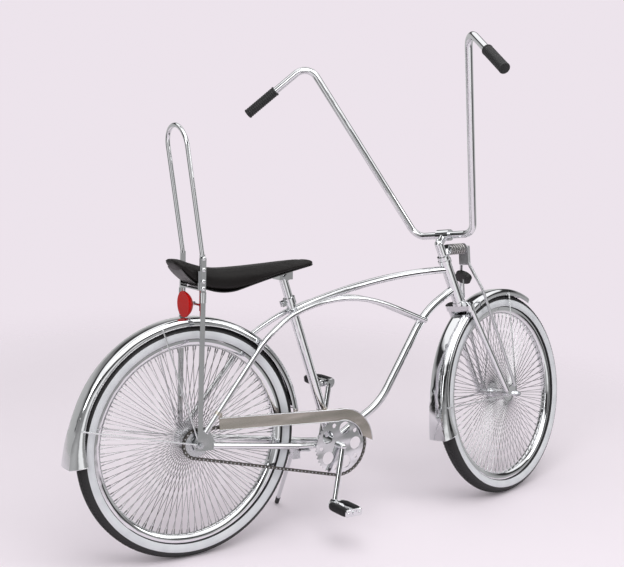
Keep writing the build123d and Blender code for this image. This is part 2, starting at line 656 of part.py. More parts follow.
# Pedals
SPINDLE_RADIUS = 5.5
PEDAL_INNER = 9.0
for side, eye, sign in (("right", right_eye, -1), ("left", left_eye, 1)):
    start = eye.Y + sign * 7
    end = start + sign * (PEDAL_WIDTH + 8)
    spindle = disc(eye, SPINDLE_RADIUS, min(start, end), max(start, end))
    nodes["pedal_spindle_" + side] = spindle - crank
    inner = start + sign * 4
    outer = inner + sign * PEDAL_WIDTH
    barrel = disc(eye, 10.0, min(inner, outer), max(inner, outer))
    for face in (inner, outer - sign * 3.0):
        plate = Pos(eye.X, face + sign * 1.5, eye.Z) * Box(PEDAL_LENGTH - 6, 3.0, 22.0)
        barrel += plate
    nodes["pedal_cage_" + side] = barrel - disc(eye, SPINDLE_RADIUS + RUNNING_GAP, -400, 400)
    blocks = []
    for place in (-1, 1):
        block_length = PEDAL_WIDTH - 6 - 2 * SEAT_GAP
        block_x = eye.X + place * (PEDAL_LENGTH / 2 - 10.5)
        blocks.append(Pos(block_x, (inner + outer) / 2, eye.Z) * Box(21.0, block_length, 24.0))
    nodes["pedal_blocks_" + side] = together(blocks)

# Chain: its pins lie on both sprockets' pitch circles and along two straight runs between them.
RING_STEP = 360 / CHAINRING_TEETH
COG_STEP = 360 / COG_TEETH
ring_turn = math.degrees(RING_TURN)
cog_turn = math.degrees(COG_TURN)
ring_top = polar(BB, RING_RADIUS, tilt + ring_turn)
ring_low = polar(BB, RING_RADIUS, tilt - ring_turn)
cog_top = polar(REAR_AXLE, COG_RADIUS, tilt + 180 - cog_turn)
cog_low = polar(REAR_AXLE, COG_RADIUS, tilt + 180 + cog_turn)
pins = [polar(BB, RING_RADIUS, tilt + ring_turn - index * RING_STEP) for index in range(RING_LINKS)]
pins += [ring_low + (cog_low - ring_low) * (index / RUN_LINKS) for index in range(RUN_LINKS)]
pins += [polar(REAR_AXLE, COG_RADIUS, tilt + 180 + cog_turn - index * COG_STEP) for index in range(COG_LINKS)]
pins += [cog_top + (ring_top - cog_top) * (index / RUN_LINKS) for index in range(RUN_LINKS)]

# An inner link is two plates on two rollers, and an outer link is two pointed plates over their ends.
ROLLER_FROM = CHAIN_INSIDE / 2
INNER_TO = ROLLER_FROM + LINK_PLATE
OUTER_TO = INNER_TO + LINK_PLATE
shoulder = (CHAIN_PITCH + LINK_HEIGHT / 2) / 2
point = CHAIN_PITCH / 2 + 4.2
inner_outline = Rectangle(CHAIN_PITCH + ROLLER_WIDTH, LINK_HEIGHT)
outer_outline = make_face(
    Polyline(
        (-shoulder, LINK_HEIGHT / 2),
        (-point, 0),
        (-shoulder, -LINK_HEIGHT / 2),
        (shoulder, -LINK_HEIGHT / 2),
        (point, 0),
        (shoulder, LINK_HEIGHT / 2),
        close=True,
    )
)
inner_link = side_plate(inner_outline, ROLLER_FROM, INNER_TO)
inner_link += mirrored(inner_link)
for end in (-CHAIN_PITCH / 2, CHAIN_PITCH / 2):
    inner_link += side_plate(Pos(end, 0) * Rectangle(ROLLER_WIDTH, ROLLER_WIDTH), -ROLLER_FROM, ROLLER_FROM)
outer_link = both(side_plate(outer_outline, INNER_TO, OUTER_TO))
links = []
for index, pin in enumerate(pins):
    way = pins[(index + 1) % len(pins)] - pin
    middle = pin + way / 2
    link = outer_link if index % 2 else inner_link
    placed = Pos(middle.X, CHAIN_Y, middle.Z) * Rot(0, -math.degrees(math.atan2(way.Z, way.X)), 0) * link
    links += placed.solids()
nodes["chain"] = links[0] + links[1:]

# Chain guard: a pressed sheet that follows the upper run and the front of the chainring.
GUARD_OUTER = 112.0
GUARD_INNER = 78.0
GUARD_REAR_X = 66.0
GUARD_REAR_Z = 48.0
GUARD_REAR_HEIGHT = 34.0
GUARD_TIP = 2.0
GUARD_SHOULDER = 94.0
outer_tip, outer_mid, outer_end = (
    polar(BB, GUARD_OUTER, GUARD_TIP),
    polar(BB, GUARD_OUTER, (GUARD_TIP + GUARD_SHOULDER) / 2),
    polar(BB, GUARD_OUTER, GUARD_SHOULDER),
)
inner_tip, inner_mid, inner_end = (
    polar(BB, GUARD_INNER, GUARD_TIP + 14),
    polar(BB, GUARD_INNER, (GUARD_TIP + GUARD_SHOULDER) / 2),
    polar(BB, GUARD_INNER, GUARD_SHOULDER + 6),
)
rear_top = (GUARD_REAR_X, GUARD_REAR_Z + GUARD_REAR_HEIGHT / 2)
rear_low = (GUARD_REAR_X, GUARD_REAR_Z - GUARD_REAR_HEIGHT / 2)
guard_face = make_face(
    [
        ThreePointArc(*[(p.X, p.Z) for p in (outer_tip, outer_mid, outer_end)]),
        Line((outer_end.X, outer_end.Z), rear_top),
        Line(rear_top, rear_low),
        Line(rear_low, (inner_end.X, inner_end.Z)),
        ThreePointArc(*[(p.X, p.Z) for p in (inner_end, inner_mid, inner_tip)]),
        Line((inner_tip.X, inner_tip.Z), (outer_tip.X, outer_tip.Z)),
    ]
)
guard = side_plate(guard_face, GUARD_Y - GUARD_THICKNESS, GUARD_Y)
GUARD_LIP = 10.0
lip_mid, lip_tip = (
    polar(BB, GUARD_OUTER - GUARD_THICKNESS, (GUARD_TIP + GUARD_SHOULDER) / 2),
    polar(BB, GUARD_OUTER - GUARD_THICKNESS, GUARD_TIP),
)
lip_outer = make_face(
    [
        ThreePointArc(*[(p.X, p.Z) for p in (outer_tip, outer_mid, outer_end)]),
        Line((outer_end.X, outer_end.Z), rear_top),
        Line(rear_top, (rear_top[0], rear_top[1] - GUARD_THICKNESS)),
        Line((rear_top[0], rear_top[1] - GUARD_THICKNESS), (outer_end.X, outer_end.Z - GUARD_THICKNESS)),
        ThreePointArc(
            (outer_end.X, outer_end.Z - GUARD_THICKNESS),
            *[(p.X, p.Z) for p in (lip_mid, lip_tip)],
        ),
        Line((lip_tip.X, lip_tip.Z), (outer_tip.X, outer_tip.Z)),
    ]
)
guard += side_plate(lip_outer, GUARD_Y, GUARD_Y + GUARD_LIP)
BAND_WIDTH = 12.0
BAND_WALL = 1.6
STRAP_WIDTH = 12.0
band_up = 104.0 / SEAT_SIN
band = rod(
    seat_tube_point(band_up - BAND_WIDTH / 2),
    seat_tube_point(band_up + BAND_WIDTH / 2),
    SEAT_TUBE_RADIUS + BAND_WALL,
    SEAT_TUBE_RADIUS + RUNNING_GAP,
)
band_centre = seat_tube_point(band_up)
strap = Pos(band_centre.X, (GUARD_Y - SEAT_TUBE_RADIUS) / 2, band_centre.Z) * Box(
    STRAP_WIDTH, -GUARD_Y - SEAT_TUBE_RADIUS, BAND_WALL + 0.6
)
guard += band + strap
stay_start = Vector(*CANTILEVER_BENDS[-1])
stay_end = Vector(*CANTILEVER_BENDS[-2])
stay_way = (stay_end - stay_start).normalized()
clip_point = across(stay_start + stay_way * 62.0)
clip_way = across(stay_way)
clip = rod(
    clip_point - clip_way * 5,
    clip_point + clip_way * 5,
    CANTILEVER_RADIUS + BAND_WALL,
    CANTILEVER_RADIUS + RUNNING_GAP,
)
clip_strap = Pos(GUARD_REAR_X + 3, GUARD_Y - GUARD_THICKNESS / 2, (rear_top[1] + clip_point.Z) / 2) * Box(
    11.0, GUARD_THICKNESS, clip_point.Z - rear_top[1] + 6
)
clip_strap -= rod(clip_point - clip_way * 30, clip_point + clip_way * 30, CANTILEVER_RADIUS + RUNNING_GAP)
guard += clip + clip_strap
nodes["chain_guard"] = guard

# Coaster brake arm, from the hub's left end to the chainstay
arm_y = REAR_FLANGE_Y + 5 + SEAT_GAP + ARM_THICKNESS / 2
arm_axis = Vector(CHAINSTAY_POINTS[2]) - Vector(CHAINSTAY_POINTS[3])
arm_angle = math.degrees(math.atan2(arm_axis.Z, arm_axis.X)) - 10
arm_far = polar(REAR_AXLE, BRAKE_ARM_LENGTH, arm_angle)
brake_arm = disc(REAR_AXLE, 24.0, arm_y - ARM_THICKNESS / 2, arm_y + ARM_THICKNESS / 2)
arm_middle = (REAR_AXLE + arm_far) / 2 + Vector(0, arm_y, 0)
brake_arm += Pos(*arm_middle) * Rot(0, -arm_angle, 0) * Box(BRAKE_ARM_LENGTH, ARM_THICKNESS - 1, 17.0)
brake_arm -= disc(REAR_AXLE, AXLE_RADIUS + RUNNING_GAP, arm_y - 4, arm_y + 4)
nodes["brake_arm"] = brake_arm


# Fenders

FENDER_RADIUS = TYRE_RADIUS + 13.0
FENDER_HALF = TYRE_SECTION / 2 + 4.0
FENDER_DEPTH = 17.0
FENDER_WALL = 1.4


def fender_section(half, radius, depth, crown):
    """A U section, drawn with x across the wheel and y outwards from the axle."""
    outer = [(-half, radius - depth), (-half * 0.74, radius + crown * 0.72), (0, radius + crown)]
    inner_half = half - FENDER_WALL
    inner = [
        (-inner_half, radius - depth),
        (-inner_half * 0.74, radius + crown * 0.72 - FENDER_WALL),
        (0, radius + crown - FENDER_WALL),
    ]
    right_outer = [(-x, y) for x, y in outer]
    right_inner = [(-x, y) for x, y in inner]
    return make_face(
        [
            ThreePointArc(outer[0], (-half * 0.97, radius - depth * 0.35), outer[1]),
            ThreePointArc(outer[1], outer[2], right_outer[1]),
            ThreePointArc(right_outer[1], (half * 0.97, radius - depth * 0.35), right_outer[0]),
            Line(right_outer[0], right_inner[0]),
            ThreePointArc(right_inner[0], (inner_half * 0.97, radius - depth * 0.35 - 0.4), right_inner[1]),
            ThreePointArc(right_inner[1], inner[2], inner[1]),
            ThreePointArc(inner[1], (-inner_half * 0.97, radius - depth * 0.35 - 0.4), inner[0]),
            Line(inner[0], outer[0]),
        ]
    )


def fender_plane(centre, angle):
    """Across the wheel and outwards, at an angle round the axle from the front."""
    turn = math.radians(angle)
    return Plane(origin=centre, x_dir=(0, 1, 0), z_dir=(math.sin(turn), 0, -math.cos(turn)))


def fender(centre, front_angle, rear_angle, flare_angle, flare_out, flare_half):
    """A pressed mudguard that ends in a flared tail."""
    start = fender_section(FENDER_HALF, FENDER_RADIUS, FENDER_DEPTH, 4.0)
    plane = fender_plane(centre, front_angle)
    body = revolve(plane * start, axis=Axis(centre, (0, -1, 0)), revolution_arc=rear_angle - front_angle)
    stages = [(rear_angle, 0.0), ((rear_angle + flare_angle) / 2, 0.3), (flare_angle, 1.0)]
    faces = []
    for angle, share in stages:
        grown = fender_section(
            FENDER_HALF + share * (flare_half - FENDER_HALF),
            FENDER_RADIUS + share * flare_out,
            FENDER_DEPTH + share * 26.0,
            4.0 + share * 4.0,
        )
        faces.append(fender_plane(centre, angle) * grown)
    return body + loft(faces)


nodes["rear_fender"] = fender(REAR_AXLE, 8.0, 158.0, 184.0, 12.0, 40.0)
front_fender = fender(FRONT_AXLE, 62.0, 168.0, 196.0, 16.0, 42.0)


def fender_braces(centre, places, eye_y):
    """Round stays from the axle to the fender's edges, each given by its angle and the fender's half width."""
    shapes = disc(centre, 10.0, eye_y, eye_y + BRACE_EYE)
    for angle, fender_half in places:
        low = polar(centre, 8.0, angle, eye_y + BRACE_EYE / 2)
        edge = polar(centre, FENDER_RADIUS - FENDER_DEPTH + 8.0, angle, fender_half + BRACE_RADIUS + SEAT_GAP)
        shapes += rod(low, edge, BRACE_RADIUS)
    shapes -= disc(centre, AXLE_RADIUS + RUNNING_GAP, eye_y - 2, eye_y + BRACE_EYE + 2)
    return shapes


REAR_BRACES = ((106.0, FENDER_HALF), (167.0, 33.6))
rear_braces = fender_braces(REAR_AXLE, REAR_BRACES, REAR_DROPOUT_Y + DROPOUT_THICKNESS)
rear_braces -= dropout
rear_braces -= strut
rear_braces -= tab
nodes["rear_fender_braces"] = both(rear_braces)


# Fork and handlebar, built on the steering axis before it is turned

def steer_rod(start, end, radius, bore=0.0):
    """A bar between two places given as (up the axis, forwards, y)."""
    return rod(steer_point(*start), steer_point(*end), radius, bore)


steering = {}
STEERER_TOP = PERCH_UP + 14
LEG_TOP_Y = 40.0
LEG_LOW = (30.0, 22.0, 57.0)
LEG_RADIUS = 9.5
crown_plate = Box(30, 2 * LEG_TOP_Y + 22, CROWN_HIGH - CROWN_LOW - SEAT_GAP)
crown = STEER_PLANE * Pos(0, 0, (CROWN_LOW + CROWN_HIGH) / 2) * crown_plate
crown = fillet(crown.edges().filter_by(STEER_AXIS), 12)
steerer = rod(steer_point(CROWN_HIGH - 2), steer_point(STEERER_TOP), STEERER_RADIUS, 11.2)
steering["fork_crown"] = crown + steerer
leg = steer_rod((CROWN_LOW + 6, 0, LEG_TOP_Y), LEG_LOW, LEG_RADIUS) - crown
steering["fork_legs"] = both(leg)

ROD_TOP = (PERCH_UP - 57.0, 92.0, 13.0)
ROD_BEND = (HEAD_BOTTOM - 2.0, 82.0, 43.0)
ROD_LOW = (28.0, 60.0, 66.0)
SPRING_ROD_RADIUS = 4.8
rod_path = FilletPolyline(
    steer_point(*ROD_TOP), steer_point(*ROD_BEND), steer_point(*ROD_LOW), radius=60
)
front_rod = sweep(Plane(origin=rod_path @ 0, z_dir=rod_path % 0) * Circle(SPRING_ROD_RADIUS), path=rod_path)
YOKE_TOP = (PERCH_UP - 15.0, 112.0)
yoke_block = STEER_PLANE * Pos(YOKE_TOP[1] - 10, 0, YOKE_TOP[0] - 22) * Rot(0, 25, 0) * Box(12, 36, 62)
yoke_block = fillet(yoke_block.edges().filter_by(Axis.Y), 4)

# Rockers join leg, front rod and axle on each side.
ROCKER_THICKNESS = 4.0
ROCKER_Y = 61.5
rocker_points = [(LEG_LOW[0], LEG_LOW[1]), (ROD_LOW[0], ROD_LOW[1]), (0.0, FORK_RAKE)]
rocker_hull = make_hull(
    [(Pos(forward, up) * Circle(9.0)).edge() for up, forward in rocker_points]
)
rocker_plane = Plane(
    origin=STEER_FOOT + Vector(0, ROCKER_Y - ROCKER_THICKNESS / 2, 0),
    x_dir=STEER_PLANE.x_dir,
    z_dir=(0, -1, 0),
)
rocker = extrude(rocker_plane * rocker_hull, amount=ROCKER_THICKNESS, dir=(0, 1, 0))
rocker -= disc(FRONT_AXLE, AXLE_RADIUS + RUNNING_GAP, 40, 80)
rocker -= leg
rocker -= front_rod
steering["rockers"] = both(rocker)

PERCH_HEIGHT = 13.4
perch = steer_rod((PERCH_UP, 0, 0), (PERCH_UP + PERCH_HEIGHT, 0, 0), 19.0)
SPRING_REAR = (PERCH_UP + 20.0, 30.0)
SPRING_FRONT = (PERCH_UP - 13.0, 104.0)
SPRING_RADIUS = 15.0
SPRING_WIRE = 2.8
SPRING_TURNS = 6
STEM_RADIUS = 14.0
spring_start = steer_point(*SPRING_REAR)
spring_axis = steer_point(*SPRING_FRONT) - spring_start
spring_way = spring_axis.normalized()
perch += rod(steer_point(PERCH_UP + 7, 8), spring_start - spring_way * 2, 8.0)
perch += rod(spring_start - spring_way * 4, spring_start, 17.0)
perch -= rod(steer_point(PERCH_UP - 2), steer_point(STEERER_TOP), STEERER_RADIUS + RUNNING_GAP)
perch -= rod(steer_point(PERCH_UP + PERCH_HEIGHT), steer_point(STEERER_TOP + 60), STEM_RADIUS + SEAT_GAP)
spring_height = spring_axis.length - 2 * SPRING_WIRE - 2 * SEAT_GAP
coil_path = Helix(pitch=spring_height / SPRING_TURNS, height=spring_height, radius=SPRING_RADIUS)
coil = sweep(Plane(origin=coil_path @ 0, z_dir=coil_path % 0) * Circle(SPRING_WIRE), path=coil_path)
spring_plane = Plane(origin=spring_start + spring_way * (SPRING_WIRE + SEAT_GAP), z_dir=spring_way)
steering["fork_spring"] = spring_plane * coil
SPRING_BOLT_RADIUS = 4.0
spring_end = spring_start + spring_axis
washer = rod(spring_end, spring_end + spring_way * 4, 17.0)
spring_bolt = rod(spring_start - spring_way * 10, spring_end + spring_way * 34, SPRING_BOLT_RADIUS)

steering["spring_perch"] = perch + spring_bolt
steering["spring_rods"] = yoke_block + washer + front_rod + mirrored(front_rod) - rod(
    spring_start, spring_end + spring_way * 60, SPRING_BOLT_RADIUS + RUNNING_GAP
)

# Stem and handlebar
STEM_TOP = STEERER_TOP + 41.0
BAR_CLAMP = (STEM_TOP + 12.0, 38.0)
HANDLEBAR_RADIUS = 11.1
STEM_LOW = STEERER_TOP + SEAT_GAP
stem = steer_rod((STEM_LOW, 0, 0), (STEM_TOP, 0, 0), STEM_RADIUS)
stem += STEER_PLANE * Pos(0, 0, STEM_TOP) * Sphere(STEM_RADIUS)
stem += steer_rod((STEM_TOP, 0, 0), (*BAR_CLAMP, 0), 13.0)
stem += steer_rod((*BAR_CLAMP, -24), (*BAR_CLAMP, 24), 18.0)
stem -= steer_rod((*BAR_CLAMP, -30), (*BAR_CLAMP, 30), HANDLEBAR_RADIUS + RUNNING_GAP)
steering["stem"] = stem
clamp_centre = steer_point(*BAR_CLAMP)
BAR_LOW_CORNER = clamp_centre + Vector(0, 111.0, 0)
BAR_HIGH_CORNER = clamp_centre + Vector(-246.8, 311.0, 569.9)
BAR_END = clamp_centre + Vector(-349.8, 490.0, 429.9)
bar_points = [BAR_END, BAR_HIGH_CORNER, BAR_LOW_CORNER]
bar_points += [across(point) for point in reversed(bar_points)]
steering["handlebar"] = bent_bar(bar_points, [45.0, 48.0, 48.0, 45.0], HANDLEBAR_RADIUS)
GRIP_LENGTH = 118.0
GRIP_RADIUS = 16.0
grip_way = (BAR_END - BAR_HIGH_CORNER).normalized()
grip_start = BAR_END - grip_way * (GRIP_LENGTH - 4)
grip = rod(grip_start, BAR_END + grip_way * 4, GRIP_RADIUS)
grip -= rod(grip_start - grip_way, BAR_END + grip_way * SEAT_GAP, HANDLEBAR_RADIUS + SEAT_GAP)
steering["grips"] = both(grip)

FRONT_EYE_Y = ROCKER_Y + ROCKER_THICKNESS / 2
FRONT_HUB_END = FRONT_FLANGE_Y + 5
steering["front_axle"] = axle(
    FRONT_AXLE, (FRONT_HUB_END, FRONT_HUB_END), ROCKER_Y - ROCKER_THICKNESS / 2, FRONT_EYE_Y, BRACE_EYE
)
steering["front_fender"] = front_fender
front_braces = fender_braces(FRONT_AXLE, ((84.0, FENDER_HALF), (180.0, 34.6)), FRONT_EYE_Y)
front_braces -= rocker
front_braces -= leg
front_braces -= front_rod
front_braces -= steering["front_axle"]
steering["front_fender_braces"] = both(front_braces)

LAMP_UP = HEAD_BOTTOM + 54.0
LAMP_FORWARD = 62.0
LAMP_RADIUS = 27.0
front_reflector = STEER_PLANE * Pos(LAMP_FORWARD, 0, LAMP_UP) * Rot(0, 66, 0) * Cylinder(LAMP_RADIUS, 14)
steering["front_reflector"] = front_reflector
crown_front = steer_point((CROWN_LOW + CROWN_HIGH) / 2, 15.0 + 1.5)
strap_bend = steer_point(LAMP_UP - 60, 34.0)
STRAP_RADIUS = 2.5
lamp_strap = bent_bar([crown_front, strap_bend, steer_point(LAMP_UP, LAMP_FORWARD)], [20.0], STRAP_RADIUS)
steering["reflector_strap"] = lamp_strap - front_reflector - crown

front_wheel = ("front_tyre", "front_rim", "front_hub")
for name, shape in steering.items():
    nodes[name] = shape.rotate(STEER_AXIS, STEER_REST)
for name in front_wheel:
    nodes[name] = nodes[name].rotate(STEER_AXIS, STEER_REST)


# Side stand

def leaned(point):
    """A point's place after the lean alone, from the rear axle."""
    turn = math.radians(LEAN)
    return Vector(
        point.X,
        point.Y * math.cos(turn) + point.Z * math.sin(turn),
        point.Z * math.cos(turn) - point.Y * math.sin(turn),
    )


def tyre_low(centre, axle_way):
    """How low a tyre reaches after the lean, below the rear axle."""
    spin = leaned(centre + axle_way) - leaned(centre)
    middle = TYRE_RADIUS - TYRE_SECTION / 2
    return leaned(centre).Z - middle * math.sqrt(1 - spin.Z**2) - TYRE_SECTION / 2


steer_turn = Axis((0, 0, 0), STEER_PLANE.z_dir)
steered_axle = Vector(0, 1, 0).rotate(steer_turn, STEER_REST)
steered_centre = (Vector(*FRONT_AXLE) - STEER_FOOT).rotate(steer_turn, STEER_REST) + STEER_FOOT
rear_low_z = tyre_low(REAR_AXLE, Vector(0, 1, 0))
front_low_z = tyre_low(steered_centre, steered_axle)
PITCH = math.degrees(math.atan2(front_low_z - rear_low_z, leaned(steered_centre).X))

stand_turn = math.radians(LEAN)
stand_pivot = BB + Vector(-STAND_PIVOT_BACK, STAND_PIVOT_Y, -STAND_PIVOT_DROP)
stand_foot_x = stand_pivot.X + STAND_FOOT_FORWARD
ground_at_foot = rear_low_z + (front_low_z - rear_low_z) * stand_foot_x / leaned(steered_centre).X
foot_rise = (ground_at_foot + STAND_RADIUS + STAND_FOOT_Y * math.sin(stand_turn)) / math.cos(stand_turn)
stand_foot = Vector(stand_foot_x, STAND_FOOT_Y, foot_rise)
stand_way = (stand_foot - stand_pivot).normalized()
STAND_FOLDED = Vector(-0.98, 0.15, 0.14).normalized()
STAND_AXIS = stand_way.cross(STAND_FOLDED).normalized()
STAND_SWING = stand_way.get_angle(STAND_FOLDED)
STAND_EYE_RADIUS = 11.0
STAND_PIN_RADIUS = 4.0
stand_pin_plane = Plane(origin=stand_pivot, z_dir=STAND_AXIS)
TIP_LENGTH = 26.0
stand_leg = rod(stand_pivot, stand_foot - stand_way * TIP_LENGTH, STAND_RADIUS - 1)
stand_leg += stand_pin_plane * Cylinder(STAND_EYE_RADIUS, 2 * STAND_RADIUS)
stand_leg -= stand_pin_plane * Cylinder(STAND_PIN_RADIUS + RUNNING_GAP, 4 * STAND_RADIUS)
nodes["kickstand"] = stand_leg
stand_tip = rod(stand_foot - stand_way * (TIP_LENGTH - SEAT_GAP), stand_foot, STAND_RADIUS)
stand_tip += Pos(*stand_foot) * Sphere(STAND_RADIUS)
nodes["kickstand_tip"] = stand_tip

# The stand's plate is clamped under the chainstays and carries the fork that the leg's pin goes through.
STAND_PLATE = 5.0
STAND_PLATE_HALF = 47.0
STAND_PLATE_LENGTH = 34.0
STAND_FORK_LENGTH = 24.0
STAND_FORK_INSIDE = 28.0
STAND_FORK_OUTSIDE = 9.0
stay_run = Vector(CHAINSTAY_POINTS[2]) - Vector(CHAINSTAY_POINTS[1])
stay_share = (stand_pivot.X - CHAINSTAY_POINTS[1][0]) / stay_run.X
stay_z = CHAINSTAY_POINTS[1][2] + stay_run.Z * stay_share
stay_slope = math.degrees(math.atan2(stay_run.Z, -stay_run.X))
plate_drop = CHAINSTAY_RADIUS + SEAT_GAP + STAND_PLATE / 2
stand_bracket = Pos(stand_pivot.X, 0, stay_z - plate_drop) * Rot(0, stay_slope, 0) * Box(
    STAND_PLATE_LENGTH, 2 * STAND_PLATE_HALF, STAND_PLATE
)
fork_top = stay_z - plate_drop
fork_low = stand_pivot.Z - STAND_FORK_OUTSIDE
fork_width = STAND_FORK_INSIDE + STAND_FORK_OUTSIDE
fork_y = stand_pivot.Y + STAND_FORK_OUTSIDE - fork_width / 2
fork_plate = Box(STAND_FORK_LENGTH, fork_width, fork_top - fork_low)
stand_bracket += Pos(stand_pivot.X, fork_y, (fork_top + fork_low) / 2) * fork_plate
stand_bracket -= stand_pin_plane * Cylinder(STAND_EYE_RADIUS + 8.0, 2 * STAND_RADIUS + 2 * SEAT_GAP)
stand_bracket += stand_pin_plane * Cylinder(STAND_PIN_RADIUS, 2 * STAND_RADIUS + 10)
nodes["stand_bracket"] = stand_bracket


# Lean the cycle onto its stand and put the origin under the middle of its box.

rest_turn = Pos(0, 0, 0) * Rot(0, PITCH, 0) * Rot(-LEAN, 0, 0)
placed = {name: rest_turn * shape for name, shape in nodes.items()}
whole = together(placed.values()).bounding_box()
REST = Pos(-whole.center().X, -whole.center().Y, -whole.min.Z) * rest_turn
os.makedirs("parts", exist_ok=True)
for name, shape in nodes.items():
    export_step(REST * shape, f"parts/{name}.step")
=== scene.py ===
import json
import math

import bmesh
import bpy
from mathutils import Matrix, Vector


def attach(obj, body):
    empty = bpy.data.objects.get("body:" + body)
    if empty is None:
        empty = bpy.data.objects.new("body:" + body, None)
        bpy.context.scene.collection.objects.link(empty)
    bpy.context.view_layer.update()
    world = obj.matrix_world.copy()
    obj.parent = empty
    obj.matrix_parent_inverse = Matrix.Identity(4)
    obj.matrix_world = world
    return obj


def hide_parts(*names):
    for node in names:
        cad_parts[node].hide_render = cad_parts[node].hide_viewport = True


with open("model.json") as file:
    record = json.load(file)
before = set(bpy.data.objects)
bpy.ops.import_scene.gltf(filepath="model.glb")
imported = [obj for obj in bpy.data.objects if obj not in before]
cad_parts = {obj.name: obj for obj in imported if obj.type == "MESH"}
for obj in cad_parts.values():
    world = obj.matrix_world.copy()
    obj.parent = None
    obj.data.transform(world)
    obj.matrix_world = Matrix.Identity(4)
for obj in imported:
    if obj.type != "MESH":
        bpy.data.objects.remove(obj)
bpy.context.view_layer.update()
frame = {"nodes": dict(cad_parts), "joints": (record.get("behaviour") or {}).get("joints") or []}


# How the cycle stands. Every piece is drawn on the upright cycle in millimetres, with X forwards,
# Y to the left, Z up and the origin in the rear axle, and then leaned onto its side stand.
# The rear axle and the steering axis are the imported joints' own.

MILLIMETRE = 0.001
HEAD_ANGLE = math.radians(66)
STEER_REST = math.radians(15)
joints = {joint["name"]: joint for joint in frame["joints"]}
leftwards = Vector(joints["rear_wheel_spin"]["axis"])
steer_way = Vector(joints["steering"]["axis"])
square_to_steering = leftwards.cross(steer_way)
forwards = square_to_steering * math.sin(HEAD_ANGLE) - steer_way * math.cos(HEAD_ANGLE)
upwards = square_to_steering * math.cos(HEAD_ANGLE) + steer_way * math.sin(HEAD_ANGLE)
lean = Matrix((forwards, leftwards, upwards)).transposed().to_4x4()
stance = Matrix.Translation(joints["rear_wheel_spin"]["pos_m"]) @ lean @ Matrix.Scale(MILLIMETRE, 4)
to_upright = stance.inverted()
steer_foot = to_upright @ Vector(joints["steering"]["pos_m"])
steer_up = Vector((-math.cos(HEAD_ANGLE), 0, math.sin(HEAD_ANGLE)))
steer_out = Vector((math.sin(HEAD_ANGLE), 0, math.cos(HEAD_ANGLE)))
turn_bars = (
    Matrix.Translation(steer_foot)
    @ Matrix.Rotation(STEER_REST, 4, steer_up)
    @ Matrix.Translation(-steer_foot)
)
steered_stance = stance @ turn_bars


# The camera stands to the rear right of the cycle at a person's height, as the photograph's did.
# Its place and lens come from a fit to both wheels' outlines, without the picture's sideways stretch.

CAMERA_PLACE = (-1358.8, -2749.5, 814.9)
CAMERA_YAW = math.radians(-32.63)
CAMERA_PITCH = math.radians(-7.0)
CAMERA_ROLL = math.radians(0.33)
FOCAL_PIXELS = 1125
PICTURE_WIDTH = 624
SENSOR_WIDTH = 36
sight = Vector((
    -math.sin(CAMERA_YAW) * math.cos(CAMERA_PITCH),
    math.cos(CAMERA_YAW) * math.cos(CAMERA_PITCH),
    math.sin(CAMERA_PITCH),
))
level = Vector((math.cos(CAMERA_YAW), math.sin(CAMERA_YAW), 0))
overhead = level.cross(sight)
right = level * math.cos(CAMERA_ROLL) + overhead * math.sin(CAMERA_ROLL)
turned_camera = Matrix((right, right.cross(sight), -sight)).transposed().to_4x4()
lens = bpy.data.cameras.new("camera")
lens.lens = FOCAL_PIXELS * SENSOR_WIDTH / PICTURE_WIDTH
lens.sensor_width = SENSOR_WIDTH
camera = bpy.data.objects.new("camera", lens)
bpy.context.scene.collection.objects.link(camera)
camera.matrix_world = Matrix.Translation(stance @ Vector(CAMERA_PLACE)) @ lean @ turned_camera
bpy.context.scene.camera = camera


# The studio is a pale floor that fades into a pale surround, under soft lights.
# Polished metal sees bright and dark bands on the room's walls and ceiling, which draw its lines.

bpy.context.scene.view_settings.view_transform = "Standard"


class Value:
    """One socket of a node tree, on which Python's arithmetic adds Math nodes."""

    def __init__(self, tree, socket):
        self.tree = tree
        self.socket = socket

    def math(self, operation, *values):
        return self.tree.node("ShaderNodeMath", {"operation": operation}, values)

    def __add__(self, other):
        return self.math("ADD", self, other)

    def __radd__(self, other):
        return self.math("ADD", other, self)

    def __sub__(self, other):
        return self.math("SUBTRACT", self, other)

    def __rsub__(self, other):
        return self.math("SUBTRACT", other, self)

    def __mul__(self, other):
        return self.math("MULTIPLY", self, other)

    def __rmul__(self, other):
        return self.math("MULTIPLY", other, self)

    def __truediv__(self, other):
        return self.math("DIVIDE", self, other)

    def __rtruediv__(self, other):
        return self.math("DIVIDE", other, self)

    def __gt__(self, other):
        return self.math("GREATER_THAN", self, other)

    def __lt__(self, other):
        return self.math("LESS_THAN", self, other)


class Nodes:
    """A node tree that grows by one node a call."""

    def __init__(self, tree):
        self.tree = tree

    def node(self, kind, settings=None, values=(), output=0):
        """One output of a new node, whose inputs take plain values or links."""
        made = self.tree.nodes.new(kind)
        for name, setting in (settings or {}).items():
            if name == "stops":
                ramp = made.color_ramp
                while len(ramp.elements) < len(setting):
                    ramp.elements.new(0.5)
                for element, (place, brightness) in zip(ramp.elements, setting):
                    element.position = place
                    element.color = grey(brightness)
            else:
                setattr(made, name, setting)
        pairs = values.items() if isinstance(values, dict) else enumerate(values)
        for name, value in pairs:
            if isinstance(value, Value):
                self.tree.links.new(value.socket, made.inputs[name])
            else:
                made.inputs[name].default_value = value
        return Value(self, made.outputs[output])

    def vector_math(self, operation, *values):
        """A vector node's result, which is a number for a length or a dot product."""
        gives_number = operation in ("LENGTH", "DOT_PRODUCT")
        return self.node("ShaderNodeVectorMath", {"operation": operation}, values, 1 if gives_number else 0)

    def mixed(self, mask, low, high):
        """A colour between two others. Sockets 0, 6 and 7 take the mask and the colours."""
        return self.node("ShaderNodeMix", {"data_type": "RGBA"}, {0: mask, 6: low, 7: high}, output=2)


def grey(brightness):
    return (brightness, brightness, brightness, 1)


